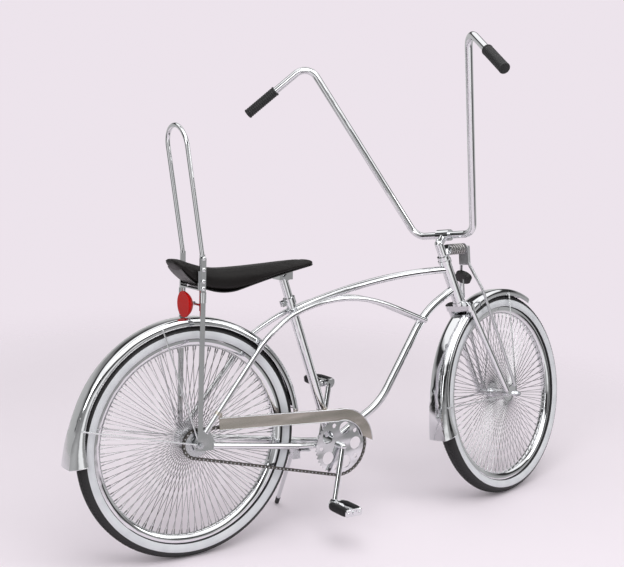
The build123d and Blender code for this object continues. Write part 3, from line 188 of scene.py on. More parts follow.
def full_turn(steps):
    """The angles of a full turn in even steps."""
    return [2 * math.pi * step / steps for step in range(steps)]


SURROUND = (0.845, 0.775, 0.838, 1)
SOFT_LIGHT = 0.60
# Each stop of a band of light: its place on the ramp and its brightness.
WALL_BANDS = [
    (0.0, 0.50), (0.045, 0.30), (0.07, 1.0), (0.18, 1.1), (0.22, 0.40),
    (0.32, 0.30), (0.345, 0.02), (0.49, 0.02), (0.54, 0.42), (1.0, 0.62),
]
CEILING_BANDS = [
    (0.0, 0.34), (0.28, 0.26), (0.34, 0.03), (0.50, 0.04), (0.57, 1.2), (0.85, 1.3), (0.90, 0.12),
]
WALL_TOP = 0.10
CEILING_FOOT = 0.24
away = lean @ sight
away.z = 0
away.normalize()
world = bpy.data.worlds.new("studio")
world.use_nodes = True
bpy.context.scene.world = world
room = Nodes(world.node_tree)
room_way = room.node("ShaderNodeTexCoord")
room_height = room.node("ShaderNodeSeparateXYZ", values=[room_way], output=2)
room_depth = room.vector_math("DOT_PRODUCT", room_way, away)
walls = room.node("ShaderNodeValToRGB", {"stops": WALL_BANDS}, [room_depth * 0.5 + 0.5])
ceiling = room.node("ShaderNodeValToRGB", {"stops": CEILING_BANDS}, [room_height])
overhead_share = room.node("ShaderNodeMapRange", values={0: room_height, 1: WALL_TOP, 2: CEILING_FOOT})
reflected = room.mixed(overhead_share, walls, ceiling)
camera_ray = room.node("ShaderNodeLightPath")
glossy_ray = room.node("ShaderNodeLightPath", output=3)
unseen = room.mixed(glossy_ray, grey(SOFT_LIGHT), reflected)
surround = room.mixed(camera_ray, unseen, SURROUND)
world.node_tree.links.new(surround.socket, world.node_tree.nodes["Background"].inputs["Color"])

FLOOR_RADIUS = 2.6
FLOOR_SIDES = 96
FLOOR_FADE_START = 1.2
FLOOR_FADE_END = 2.4
floor_points = [(0, 0, 0)]
for turn in full_turn(FLOOR_SIDES):
    floor_points.append((FLOOR_RADIUS * math.cos(turn), FLOOR_RADIUS * math.sin(turn), 0))
floor_faces = [(0, side + 1, (side + 1) % FLOOR_SIDES + 1) for side in range(FLOOR_SIDES)]
floor_mesh = bpy.data.meshes.new("studio_floor")
floor_mesh.from_pydata(floor_points, [], floor_faces)
floor = bpy.data.objects.new("studio_floor", floor_mesh)
bpy.context.scene.collection.objects.link(floor)
paper = bpy.data.materials.new("studio_paper")
paper.use_nodes = True
paper_shader = paper.node_tree.nodes["Principled BSDF"]
paper_shader.inputs["Base Color"].default_value = (0.88, 0.81, 0.87, 1)
paper_shader.inputs["Roughness"].default_value = 0.9
paper_shader.inputs["Specular IOR Level"].default_value = 0.0
sheet = Nodes(paper.node_tree)
sheet_reach = sheet.vector_math("LENGTH", sheet.node("ShaderNodeTexCoord", output=3))
sheet_fade = sheet.node(
    "ShaderNodeMapRange",
    {"interpolation_type": "SMOOTHSTEP"},
    {0: sheet_reach, 1: FLOOR_FADE_END, 2: FLOOR_FADE_START},
)
paper.node_tree.links.new(sheet_fade.socket, paper_shader.inputs["Alpha"])
floor.data.materials.append(paper)

LIGHT_AIM = Vector((0, 0, 0.6))
for name, place, power, breadth in (
    ("softbox_overhead", (-0.6, -1.0, 3.4), 52, 3.0),
    ("softbox_right", (2.6, -2.6, 2.4), 26, 1.8),
    ("softbox_left", (-3.0, -1.8, 2.0), 16, 1.2),
):
    light = bpy.data.lights.new(name, "AREA")
    light.energy = power
    light.size = breadth
    lamp = bpy.data.objects.new(name, light)
    bpy.context.scene.collection.objects.link(lamp)
    lamp.location = place
    lamp.rotation_euler = (LIGHT_AIM - Vector(place)).to_track_quat("-Z", "Y").to_euler()


# Frame: steel tubes, mitred and brazed to the head tube, the seat tube and the bottom bracket shell,
# then polished and chrome plated. The pair of thin cantilever tubes runs on to the rear dropouts.

class Finish(Nodes):
    """A material on the Principled shader, with fixed values and fed ones."""

    def __init__(self, name, color, roughness, metallic=0.0, **fixed):
        self.material = bpy.data.materials.new(name)
        self.material.use_nodes = True
        super().__init__(self.material.node_tree)
        self.shader = self.tree.nodes["Principled BSDF"]
        self.shader.inputs["Base Color"].default_value = (*color, 1)
        self.shader.inputs["Roughness"].default_value = roughness
        self.shader.inputs["Metallic"].default_value = metallic
        for name, value in fixed.items():
            self.shader.inputs[name.replace("_", " ")].default_value = value
        self.place = self.node("ShaderNodeTexCoord", output=3)

    def feed(self, name, value):
        self.tree.links.new(value.socket, self.shader.inputs[name])

    def noise(self, scale, detail=2.0, stretch=None):
        place = self.place
        if stretch:
            place = self.node("ShaderNodeMapping", values={"Vector": place, "Scale": stretch})
        return self.node("ShaderNodeTexNoise", values={"Vector": place, "Scale": scale, "Detail": detail})

    def bump(self, height, distance, strength=1.0):
        self.feed("Normal", self.node(
            "ShaderNodeBump", values={"Strength": strength, "Distance": distance, "Height": height}
        ))


chrome = Finish("bright_chrome", (0.80, 0.81, 0.83), 0.07, 1.0)
chrome.feed("Roughness", chrome.noise(38.0, 3.0) * 0.07 + 0.035)
chrome.feed("Base Color", chrome.mixed(chrome.noise(9.0), (0.68, 0.69, 0.71, 1), (0.80, 0.805, 0.815, 1)))
chrome.bump(chrome.noise(11.0, 1.0, (1, 1, 1.6)), 0.004, 0.45)

ARC_STEP = math.radians(5)
LEAST_ARC_STEPS = 3
PIECE_WELD = 1e-6
SOLID_WELD = 2e-6


def bend(corners, radii):
    """The points along straight runs that tangent arcs join."""
    corners = [Vector(corner) for corner in corners]
    line = [corners[0]]
    for before, corner, after, radius in zip(corners, corners[1:], corners[2:], radii):
        into = (corner - before).normalized()
        out = (after - corner).normalized()
        turn = into.angle(out)
        normal = into.cross(out).normalized()
        start = corner - into * radius * math.tan(turn / 2)
        centre = start + normal.cross(into) * radius
        steps = max(LEAST_ARC_STEPS, math.ceil(turn / ARC_STEP))
        for step in range(steps + 1):
            line.append(centre + Matrix.Rotation(turn * step / steps, 3, normal) @ (start - centre))
    line.append(corners[-1])
    return line


def ring_faces(rings, sides, closed=False):
    """The faces between rings of points, with both ends shut unless the rings close on themselves."""
    faces = []
    for ring in range(rings if closed else rings - 1):
        low, high = ring * sides, (ring + 1) % rings * sides
        for side in range(sides):
            following = (side + 1) % sides
            faces.append((low + side, low + following, high + following, high + side))
    if not closed:
        faces.append(tuple(reversed(range(sides))))
        faces.append(tuple(range((rings - 1) * sides, rings * sides)))
    return faces


def bar(line, radius, sides=28):
    """A round bar along a line, closed at its ends. One radius, or one for each point."""
    line = [Vector(point) for point in line]
    radii = radius if isinstance(radius, (list, tuple)) else [radius] * len(line)
    way = (line[1] - line[0]).normalized()
    out = way.orthogonal().normalized()
    points = []
    for index, point in enumerate(line):
        ahead = line[min(index + 1, len(line) - 1)] - line[max(index - 1, 0)]
        ahead.normalize()
        out = (way.rotation_difference(ahead) @ out).normalized()
        way = ahead
        aside = way.cross(out)
        for turn in full_turn(sides):
            points.append(point + (out * math.cos(turn) + aside * math.sin(turn)) * radii[index])
    return points, ring_faces(len(line), sides)


def smooth_object(name, mesh, finish, weld, crease, outward=False):
    """An object whose close points are joined, shaded smoothly between its creases."""
    shell = bmesh.new()
    shell.from_mesh(mesh)
    bmesh.ops.remove_doubles(shell, verts=shell.verts, dist=weld)
    if outward:
        bmesh.ops.recalc_face_normals(shell, faces=shell.faces)
    shell.to_mesh(mesh)
    shell.free()
    mesh.materials.clear()
    mesh.materials.append(finish.material)
    mesh.shade_smooth()
    mesh.set_sharp_from_angle(angle=math.radians(crease))
    made = bpy.data.objects.new(name, mesh)
    bpy.context.scene.collection.objects.link(made)
    return made


def piece(name, shapes, placing, finish, body, *nodes, crease=32):
    """One finished piece from shapes on the upright cycle, in place of its plain solids."""
    points, faces = [], []
    for shape_points, shape_faces in shapes:
        start = len(points)
        points += shape_points
        faces += [tuple(start + corner for corner in face) for face in shape_faces]
    mesh = bpy.data.meshes.new(name)
    mesh.from_pydata([placing @ Vector(point) for point in points], [], faces)
    made = smooth_object(name, mesh, finish, PIECE_WELD, crease, outward=True)
    if body:
        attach(made, body)
    if nodes:
        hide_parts(*nodes)
    return made


def polished(finish, body, *nodes, crease=28):
    """The plain solids' own shapes, joined so that the light runs smoothly over them."""
    for node in nodes:
        mesh = frame["nodes"][node].data.copy()
        if "custom_normal" in mesh.attributes:
            mesh.attributes.remove(mesh.attributes["custom_normal"])
        made = smooth_object(node + "_finished", mesh, finish, SOLID_WELD, crease)
        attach(made, body)
        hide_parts(node)


def steer_point(up, out=0.0, y=0.0):
    """A place on the steering axis, before the bars are turned."""
    return steer_foot + steer_up * up + steer_out * out + Vector((0, y, 0))


def walk(line, share):
    """The place at a share of a line's length."""
    lengths = [(after - before).length for before, after in zip(line, line[1:])]
    left = share * sum(lengths)
    for before, after, length in zip(line, line[1:], lengths):
        if left <= length:
            return before.lerp(after, left / length)
        left -= length


def arc_line(start, middle, end, steps=40):
    """The points on the arc through three places."""
    start, middle, end = Vector(start), Vector(middle), Vector(end)
    first, second = middle - start, end - start
    normal = first.cross(second)
    centre = start + (
        normal.cross(first) * second.length_squared + second.cross(normal) * first.length_squared
    ) / (2 * normal.length_squared)
    turn = (start - centre).angle(end - centre)
    normal.normalize()
    turns = [turn * step / steps for step in range(steps + 1)]
    return [centre + Matrix.Rotation(angle, 3, normal) @ (start - centre) for angle in turns]


BRACKET = Vector((474.88, 0, -71))
SEAT_ANGLE = math.radians(71.2)
SEAT_TUBE_LENGTH = 455
SEAT_TUBE_FOOT = 20
TOP_TUBE_DROP = 23
TOP_TUBE_UP = 492
TOP_TUBE_RISE = 24
DOWN_TUBE_UP = 425
TOP_TUBE_RADIUS = 11.1
DOWN_TUBE_RADIUS = 12.7
SEAT_TUBE_RADIUS = 14.3
CANTILEVER_RADIUS = 8
CANTILEVER_JOIN = 0.242


def seat_point(up):
    """A place along the seat tube, from the bottom bracket's centre."""
    return BRACKET + Vector((-up * math.cos(SEAT_ANGLE), 0, up * math.sin(SEAT_ANGLE)))


top_front = steer_point(TOP_TUBE_UP)
top_rear = seat_point(SEAT_TUBE_LENGTH - TOP_TUBE_DROP)
top_line = arc_line(top_rear, (top_front + top_rear) / 2 + Vector((0, 0, TOP_TUBE_RISE)), top_front)
piece("top_tube_finished", [bar(top_line, TOP_TUBE_RADIUS)], stance, chrome, "frame", "top_tube")
down_front = steer_point(DOWN_TUBE_UP)
down_run = down_front - BRACKET
upper_bend = BRACKET + Vector((down_run.x * 0.754, 0, down_run.z * 0.851))
lower_bend = BRACKET + Vector((down_run.x * 0.386, 0, down_run.z * 0.233))
down_line = bend([down_front, upper_bend, lower_bend, BRACKET], [260, 190])
piece("down_tube_finished", [bar(down_line, DOWN_TUBE_RADIUS)], stance, chrome, "frame", "down_tube")
seat_top = seat_point(SEAT_TUBE_LENGTH)
seat_line = [seat_point(SEAT_TUBE_FOOT), seat_top]
piece("seat_tube_finished", [bar(seat_line, SEAT_TUBE_RADIUS, 48)], stance, chrome, "frame", "seat_tube")
join = walk(down_line, CANTILEVER_JOIN)
run = join - seat_top
cantilever_line = bend(
    [
        (join.x, 20.9, join.z),
        seat_top + run * 0.639 + Vector((0, 20.9, 41)),
        seat_top + run * 0.293 + Vector((0, 22.5, 45)),
        seat_top + Vector((-25.4, 26, -34.7)),
        seat_top + Vector((-110.4, 45, -89.7)),
        (20, 59.5, 32),
    ],
    [600, 450, 300, 200],
)
for side, sign in (("left", 1), ("right", -1)):
    line = [Vector((point.x, sign * point.y, point.z)) for point in cantilever_line]
    tube = bar(line, CANTILEVER_RADIUS)
    piece("cantilever_finished_" + side, [tube], stance, chrome, "frame", "cantilever_" + side)
polished(chrome, "frame", "head_tube", "bottom_bracket_shell", "chainstay_left", "chainstay_right")
polished(chrome, "frame", "head_cups", "bottom_bracket_cups", "seat_post", "seat_collar")


# Fork: a springer. The crown's two straight legs stand behind two thin rods that hang from the spring,
# and a pressed rocker on each side joins leg, rod and axle. It is chrome plated, the rods less brightly.

polished(chrome, "steering", "fork_crown", "fork_legs", "rockers", "spring_perch", "stem")
satin_plate = Finish("satin_plate", (0.66, 0.665, 0.68), 0.3, 1.0)
satin_plate.feed("Roughness", satin_plate.noise(40.0, 3.0) * 0.2 + 0.2)
polished(satin_plate, "steering", "spring_rods")
polished(chrome, "steering", "reflector_strap", "front_fender_braces")
SPRING_TURNS = 6
SPRING_STEPS = 30
SPRING_WIRE = 2.8
SPRING_RADIUS = 15
SPRING_GAP = 0.3
spring_start, spring_end = steer_point(547, 30), steer_point(514, 104)
spring_way = (spring_end - spring_start).normalized()
spring_out = spring_way.orthogonal().normalized()
spring_aside = spring_way.cross(spring_out)
coil_length = (spring_end - spring_start).length - 2 * SPRING_WIRE - 2 * SPRING_GAP
coil_start = spring_start + spring_way * (SPRING_WIRE + SPRING_GAP)
coil_steps = SPRING_TURNS * SPRING_STEPS
coil = []
for step in range(coil_steps + 1):
    turn = 2 * math.pi * step / SPRING_STEPS
    out = spring_out * math.cos(turn) + spring_aside * math.sin(turn)
    coil.append(coil_start + spring_way * coil_length * step / coil_steps + out * SPRING_RADIUS)
spring_steel = Finish("spring_steel", (0.40, 0.39, 0.385), 0.2, 1.0)
spring_steel.feed("Roughness", spring_steel.noise(60.0, 3.0) * 0.16 + 0.14)
spring = bar(coil, SPRING_WIRE, 12)
piece("fork_spring_finished", [spring], steered_stance, spring_steel, "steering", "fork_spring")


def turned(profile, centre, axis, segments=96, closed=False):
    """A shape turned on an axis from (along the axis, radius) pairs; a closed profile is a ring."""
    axis = Vector(axis).normalized()
    out = axis.orthogonal().normalized()
    aside = axis.cross(out)
    points = []
    for along, radius in profile:
        for turn in full_turn(segments):
            arm = out * math.cos(turn) + aside * math.sin(turn)
            points.append(Vector(centre) + axis * along + arm * radius)
    return points, ring_faces(len(profile), segments, closed)


def nut(centre, axis, radius, height, sides=6):
    """A nut or a round bolt head with a domed end."""
    shares = ((0, 1), (0.6, 1), (0.85, 0.8), (1, 0.45))
    profile = [(0, TIP_RADIUS)]
    profile += [(height * along, radius * out) for along, out in shares]
    profile.append((height * 1.02, TIP_RADIUS))
    return turned(profile, centre, axis, sides)


TIP_RADIUS = 0.05
STEM_UP = 594
STEM_BOLT_OUT = 54.5
stem_bolts = [nut(steer_point(STEM_UP), steer_up, 7, 6.5)]
for bolt_y in (-15, 15):
    stem_bolts.append(nut(steer_point(STEM_UP, STEM_BOLT_OUT, bolt_y), steer_out, 5, 5, 24))
piece("stem_bolts", stem_bolts, steered_stance, chrome, "steering")


# Handlebar: one long steel tube, bent up, out and back to its grips, and clamped in the stem.
# The grips are moulded black rubber with rings round them and a closed end.

def across(shape):
    """The same shape on the cycle's other side."""
    points, faces = shape
    return [Vector((point[0], -point[1], point[2])) for point in points], faces


BAR_RADIUS = 11.1
STEM_OUT = 38
bar_clamp = steer_point(STEM_UP, STEM_OUT)
bar_low = bar_clamp + Vector((0, 111, 0))
bar_high = bar_clamp + Vector((-246.8, 311, 569.9))
bar_end = bar_clamp + Vector((-349.8, 490, 429.9))
bar_corners = [bar_end, bar_high, bar_low]
bar_corners += [Vector((point.x, -point.y, point.z)) for point in reversed(bar_corners)]
handlebar = bar(bend(bar_corners, [45, 48, 48, 45]), BAR_RADIUS, 32)
piece("handlebar_finished", [handlebar], steered_stance, chrome, "steering", "handlebar")

rubber = Finish("grip_rubber", (0.012, 0.012, 0.013), 0.5)
rubber.feed("Roughness", rubber.noise(220.0) * 0.25 + 0.38)
rubber.bump(rubber.noise(2600.0, 3.0), 0.0002, 0.6)
GRIP_LENGTH = 118
GRIP_OVERHANG = 4
GRIP_RADIUS = 14.6
GRIP_RINGS = 14
GRIP_RING_PITCH = 7.3
grip_way = (bar_end - bar_high).normalized()
grip_start = bar_end - grip_way * (GRIP_LENGTH - GRIP_OVERHANG)
grip_profile = [(0, 11.4), (0, 15.2), (1.2, 16), (5, 16), (6, GRIP_RADIUS)]
for ring in range(GRIP_RINGS):
    along = 9 + ring * GRIP_RING_PITCH
    grip_profile += [(along, GRIP_RADIUS), (along + 1.1, 15.6)]
    grip_profile += [(along + 3.9, 15.6), (along + 5.0, GRIP_RADIUS)]
grip_profile += [(112, GRIP_RADIUS), (113, 16), (117, 16), (118.6, GRIP_RADIUS), (118, 12), (118, 0.1)]
grip = turned(grip_profile, grip_start, grip_way, 48)
piece("grips_finished", [grip, across(grip)], steered_stance, rubber, "steering", "grips")


# Wheels: chrome plated steel rims laced to the hubs with seventy straight spokes on each side,
# and black cruiser tyres with a wide off-white band moulded into each wall. Copies of one spoke pair
# and of one row of tread blocks are set round the axle by Geometry Nodes.

REAR_AXLE = Vector((0, 0, 0))
FRONT_AXLE = Vector((1160, 0, 0))
AXLE_WAY = (0, 1, 0)
round_axle = bpy.data.node_groups.new("round_axle", "GeometryNodeTree")
modifier_inputs = {}
for label, socket_type in (
    ("Geometry", "NodeSocketGeometry"),
    ("Copies", "NodeSocketInt"),
    ("Centre", "NodeSocketVector"),
    ("Axis", "NodeSocketVector"),
    ("Finish", "NodeSocketMaterial"),
):
    given = round_axle.interface.new_socket(label, in_out="INPUT", socket_type=socket_type)
    modifier_inputs[label] = given.identifier
round_axle.interface.new_socket("Geometry", in_out="OUTPUT", socket_type="NodeSocketGeometry")
copier = Nodes(round_axle)
group_input = round_axle.nodes.new("NodeGroupInput")
one, copies, centre, axis, copy_finish = [Value(copier, socket) for socket in group_input.outputs[:5]]
points = copier.node(
    "GeometryNodeMeshLine", values={"Count": copies, "Start Location": centre, "Offset": (0, 0, 0)}
)
turn = copier.node("GeometryNodeInputIndex") / copies * 2 * math.pi
rotation = copier.node("FunctionNodeAxisAngleToRotation", values={"Axis": axis, "Angle": turn})
set_round = copier.node(
    "GeometryNodeInstanceOnPoints", values={"Points": points, "Instance": one, "Rotation": rotation}
)
joined = copier.node("GeometryNodeRealizeInstances", values={"Geometry": set_round})
finished = copier.node("GeometryNodeSetMaterial", values={"Geometry": joined, "Material": copy_finish})
round_axle.links.new(finished.socket, round_axle.nodes.new("NodeGroupOutput").inputs[0])


def settle(thing):
    """Puts what the object's modifiers make in place of its mesh."""
    ready = thing.evaluated_get(bpy.context.evaluated_depsgraph_get())
    mesh = bpy.data.meshes.new_from_object(ready)
    thing.modifiers.clear()
    thing.data = mesh


def copied_round(name, shapes, count, centre, placing, finish, body):
    """A finished piece from copies of one shape that stand round an axle."""
    made = piece(name, shapes, placing, finish, None)
    hub_place = placing @ Vector(centre)
    made.data.transform(Matrix.Translation(-hub_place))
    modifier = made.modifiers.new("round_axle", "NODES")
    modifier.node_group = round_axle
    modifier[modifier_inputs["Copies"]] = count
    modifier[modifier_inputs["Centre"]] = hub_place
    modifier[modifier_inputs["Axis"]] = (placing.to_3x3() @ Vector(AXLE_WAY)).normalized()
    modifier[modifier_inputs["Finish"]] = finish.material
    settle(made)
    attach(made, body)


def both_halves(profile):
    """A profile and its mirror image beyond the wheel's middle."""
    return profile + [(-along, radius) for along, radius in reversed(profile)]


TYRE_RADIUS = 330
SECTION_RADIUS = 303
SECTION_HALF = 27
SECTION_HEIGHT = 25.2
SECTION_STEPS = 40
SECTION_SWEEP = 128
TREAD_HALF = 25.4
TREAD_ROWS = 92
BLOCK_FACES = [(3, 2, 1, 0), (4, 5, 6, 7), (0, 1, 5, 4), (1, 2, 6, 5), (2, 3, 7, 6), (3, 0, 4, 7)]
# Each side block: its angle from the crown, width, start and end round the wheel, and skew.
SIDE_BLOCKS = ((21, 6.5, -3, 9, 2), (21, 6.5, 11, 18.5, 2), (41, 9, 1, 8.5, 2.5), (41, 9, 12, 19, 2.5))
WHITE_LOW = 0.2885
WHITE_HIGH = 0.3105
RIB_HIGH = 0.318
RIB_WIDTH = 0.0016
RIB_STRENGTH = 500
RIM_INSIDE = 265
SPOKES_A_SIDE = 70
SPOKE_CIRCLE = 27
SPOKE_SPREAD = 4
SPOKE_RADIUS = 1.0
SPOKE_HEAD_RADIUS = 1.8
NIPPLE_LENGTH = 12
NIPPLE_RADIUS = 2.0


def tread_block(centre, lean_angle, width, start, end, skew):
    """One rubber block on the crown of a tyre, from its angle across the section and round the wheel."""
    corners = []
    for lift, shrink in ((-0.8, 0.0), (1.7, 0.7)):
        near, far = start + shrink, end - shrink
        for side, along in ((-1, near), (1, near), (1, far), (-1, far)):
            angle = math.radians(lean_angle) + side * (width / 2 - shrink) / SECTION_HALF
            turn = (along + skew * side) / TYRE_RADIUS
            out = SECTION_RADIUS + (SECTION_HEIGHT + lift) * math.cos(angle)
            aside = (TREAD_HALF + lift) * math.sin(angle)
            corners.append(centre + Vector((out * math.cos(turn), aside, out * math.sin(turn))))
    return corners, BLOCK_FACES


tyre_profile = []
for step in range(SECTION_STEPS + 1):
    turn = math.radians(-SECTION_SWEEP + 2 * SECTION_SWEEP * step / SECTION_STEPS)
    tyre_profile.append((SECTION_HALF * math.sin(turn), SECTION_RADIUS + SECTION_HEIGHT * math.cos(turn)))
rim_profile = both_halves([
    (-16.5, 286), (-16.5, 279), (-15.8, 276), (-13.5, 271), (-10.5, 267), (-7.0, RIM_INSIDE),
])
rim_profile += both_halves([(14.5, 286), (14.5, 280), (7, 267)])
spoke_steel = Finish("spoke_steel", (0.50, 0.50, 0.51), 0.16, 1.0)
spoke_steel.feed("Roughness", spoke_steel.noise(50.0) * 0.15 + 0.1)
for wheel, axle, placing, flange_y, shell_radius in (
    ("front", FRONT_AXLE, steered_stance, 31, 15),
    ("rear", REAR_AXLE, stance, 34, 21),
):
    body = wheel + "_wheel"
    joint = joints[body + "_spin"]
    tyre_rubber = Finish(wheel + "_tyre_rubber", (0.02, 0.02, 0.021), 0.7)
    from_axle = tyre_rubber.vector_math("SUBTRACT", tyre_rubber.place, joint["pos_m"])
    off_axis = tyre_rubber.vector_math("CROSS_PRODUCT", from_axle, joint["axis"])
    reach = tyre_rubber.vector_math("LENGTH", off_axis)
    white = (reach > WHITE_LOW) * (reach < WHITE_HIGH)
    mottle = tyre_rubber.noise(24.0, 4.0)
    white_rubber = tyre_rubber.mixed(mottle, (0.52, 0.54, 0.57, 1), (0.72, 0.73, 0.75, 1))
    tyre_rubber.feed("Base Color", tyre_rubber.mixed(white, (0.014, 0.014, 0.015, 1), white_rubber))
    tyre_rubber.feed("Roughness", 0.62 - white * 0.14)
    ribs = reach.math("PINGPONG", reach, RIB_WIDTH) * RIB_STRENGTH * (reach > WHITE_HIGH) * (reach < RIB_HIGH)
    tyre_rubber.bump(tyre_rubber.noise(900.0, 2.0) * 0.4 + ribs, 0.0006, 0.5)
    tyre = turned(tyre_profile, axle, AXLE_WAY, 180, closed=True)
    piece(wheel + "_tyre_finished", [tyre], placing, tyre_rubber, body, wheel + "_tyre", crease=50)
    row = [tread_block(axle, 0, 9.5, 1.5, 19, 0)]
    for side in (-1, 1):
        for angle, width, start, end, skew in SIDE_BLOCKS:
            row.append(tread_block(axle, side * angle, width, start, end, side * skew))
    copied_round(wheel + "_tread", row, TREAD_ROWS, axle, placing, tyre_rubber, body)
    rim = turned(rim_profile, axle, AXLE_WAY, 180, closed=True)
    piece(wheel + "_rim_finished", [rim], placing, chrome, body, wheel + "_rim", crease=40)
    hub_profile = [(-flange_y - 5, 5), (-flange_y - 5, 12), (-flange_y - 1.5, 14), (-flange_y - 1.5, 31)]
    hub_profile += [(-flange_y + 1.5, 31), (-flange_y + 1.5, shell_radius + 3), (-flange_y + 6, shell_radius)]
    hub = turned(both_halves(hub_profile), axle, AXLE_WAY, 64)
    piece(wheel + "_hub_finished", [hub], placing, chrome, body, wheel + "_hub")
    pair = []
    for side, turn in ((-1, 0), (1, math.pi / SPOKES_A_SIDE)):
        out = Vector((math.cos(turn), 0, math.sin(turn)))
        inner = axle + out * SPOKE_CIRCLE + Vector((0, side * flange_y, 0))
        outer = axle + out * RIM_INSIDE + Vector((0, side * SPOKE_SPREAD, 0))
        way = (outer - inner).normalized()
        nipple = [outer - way * (NIPPLE_LENGTH + 1), outer - way * NIPPLE_LENGTH, outer]
        head = [inner + Vector((0, side * 2.2, 0)), inner + way * 0.5]
        pair.append(bar([inner, outer], SPOKE_RADIUS, 8))
        pair.append(bar(nipple, [1.3, NIPPLE_RADIUS, NIPPLE_RADIUS], 8))
        pair.append(bar(head, SPOKE_HEAD_RADIUS, 8))
    copied_round(wheel + "_spokes", pair, SPOKES_A_SIDE, axle, placing, spoke_steel, body)
zinc = Finish("bright_zinc", (0.62, 0.63, 0.65), 0.28, 1.0)
zinc.feed("Roughness", zinc.noise(120.0, 3.0) * 0.2 + 0.18)
polished(zinc, "steering", "front_axle")
polished(zinc, "frame", "rear_axle", "brake_arm")


# Drive: a chrome one-piece crank and chainring, the chain in darker steel with a bright rivet at each
# end of its pins, and its long guard, which is plated a shade warmer than the tubes.

polished(chrome, "crank", "crank", "chainring", "pedal_spindle_left", "pedal_spindle_right")
chain_steel = Finish("chain_steel", (0.16, 0.15, 0.14), 0.38, 1.0)
chain_oil = chain_steel.noise(160.0, 3.0)
chain_steel.feed("Base Color", chain_steel.mixed(chain_oil, (0.035, 0.032, 0.03, 1), (0.20, 0.19, 0.17, 1)))
chain_steel.feed("Roughness", chain_oil * 0.3 + 0.25)
polished(chain_steel, "frame", "chain")
polished(zinc, "driver", "rear_cog")
CHAIN_PITCH = 12.7
CHAIN_Y = -46
CHAIN_HALF = 3.6
RING_LINKS = 24
COG_LINKS = 10
RUN_LINKS = 37
run_way = math.atan2(BRACKET.z, BRACKET.x)
pins = []
for centre, teeth, links, facing in ((BRACKET, 44, RING_LINKS, 0), (REAR_AXLE, 20, COG_LINKS, math.pi)):
    radius = CHAIN_PITCH / (2 * math.sin(math.pi / teeth))
    for link in range(links + 1):
        turn = run_way + facing + (link - links / 2) * 2 * math.pi / teeth
        pins.append(centre + Vector((radius * math.cos(turn), 0, radius * math.sin(turn))))
ring_low, ring_top, cog_top, cog_low = pins[0], pins[RING_LINKS], pins[RING_LINKS + 1], pins[-1]
for start, end in ((ring_top, cog_top), (cog_low, ring_low)):
    pins += [start.lerp(end, link / RUN_LINKS) for link in range(1, RUN_LINKS)]
rivets = []
for pin in pins:
    for side in (-1, 1):
        rivets.append(nut(pin + Vector((0, CHAIN_Y + side * CHAIN_HALF, 0)), (0, side, 0), 2.1, 0.7, 10))
piece("chain_rivets", rivets, stance, zinc, "frame")
guard_plate = Finish("warm_plate", (0.62, 0.58, 0.52), 0.22, 1.0)
guard_plate.feed("Roughness", guard_plate.noise(14.0, 4.0, (1, 1, 3)) * 0.16 + 0.14)
guard_plate.bump(guard_plate.noise(9.0, 1.0, (0.5, 1, 2.5)), 0.005, 0.6)
polished(guard_plate, "frame", "chain_guard")
GUARD_Y = -53.9
GUARD_REAR = 66
GUARD_STEPS = 24
EDGE_RADIUS = 1.5
guard_edges = []
for radius, start, end, rear_height in ((112, 2, 94, 65), (78, 16, 100, 31)):
    edge = []
    for step in range(GUARD_STEPS + 1):
        turn = math.radians(start + (end - start) * step / GUARD_STEPS)
        edge.append(BRACKET + Vector((radius * math.cos(turn), GUARD_Y, radius * math.sin(turn))))
    edge.append(Vector((GUARD_REAR, GUARD_Y, rear_height)))
    guard_edges.append(bar(edge, EDGE_RADIUS, 12))
piece("guard_rolled_edges", guard_edges, stance, chrome, "frame")


# Pedals: two moulded rubber blocks, held by chromed end plates and nuts round the spindle's sleeve.
# The blocks are oval in section, ribbed across, and rounded at their ends.

OVAL_SIDES = 24


def squared(value, power):
    """A sine or cosine that makes a rounded rectangle of a circle."""
    return math.copysign(abs(value) ** power, value)


def oval(centre, half_x, half_z):
    """Points round a rounded rectangle that stands across a pedal."""
    points = []
    for turn in full_turn(OVAL_SIDES):
        reach_x = squared(math.cos(turn), 0.62) * half_x
        reach_z = squared(math.sin(turn), 0.62) * half_z
        points.append(centre + Vector((reach_x, 0, reach_z)))
    return points


def through(rings):
    """A closed shape through ovals, one after the other."""
    return sum(rings, []), ring_faces(len(rings), OVAL_SIDES)


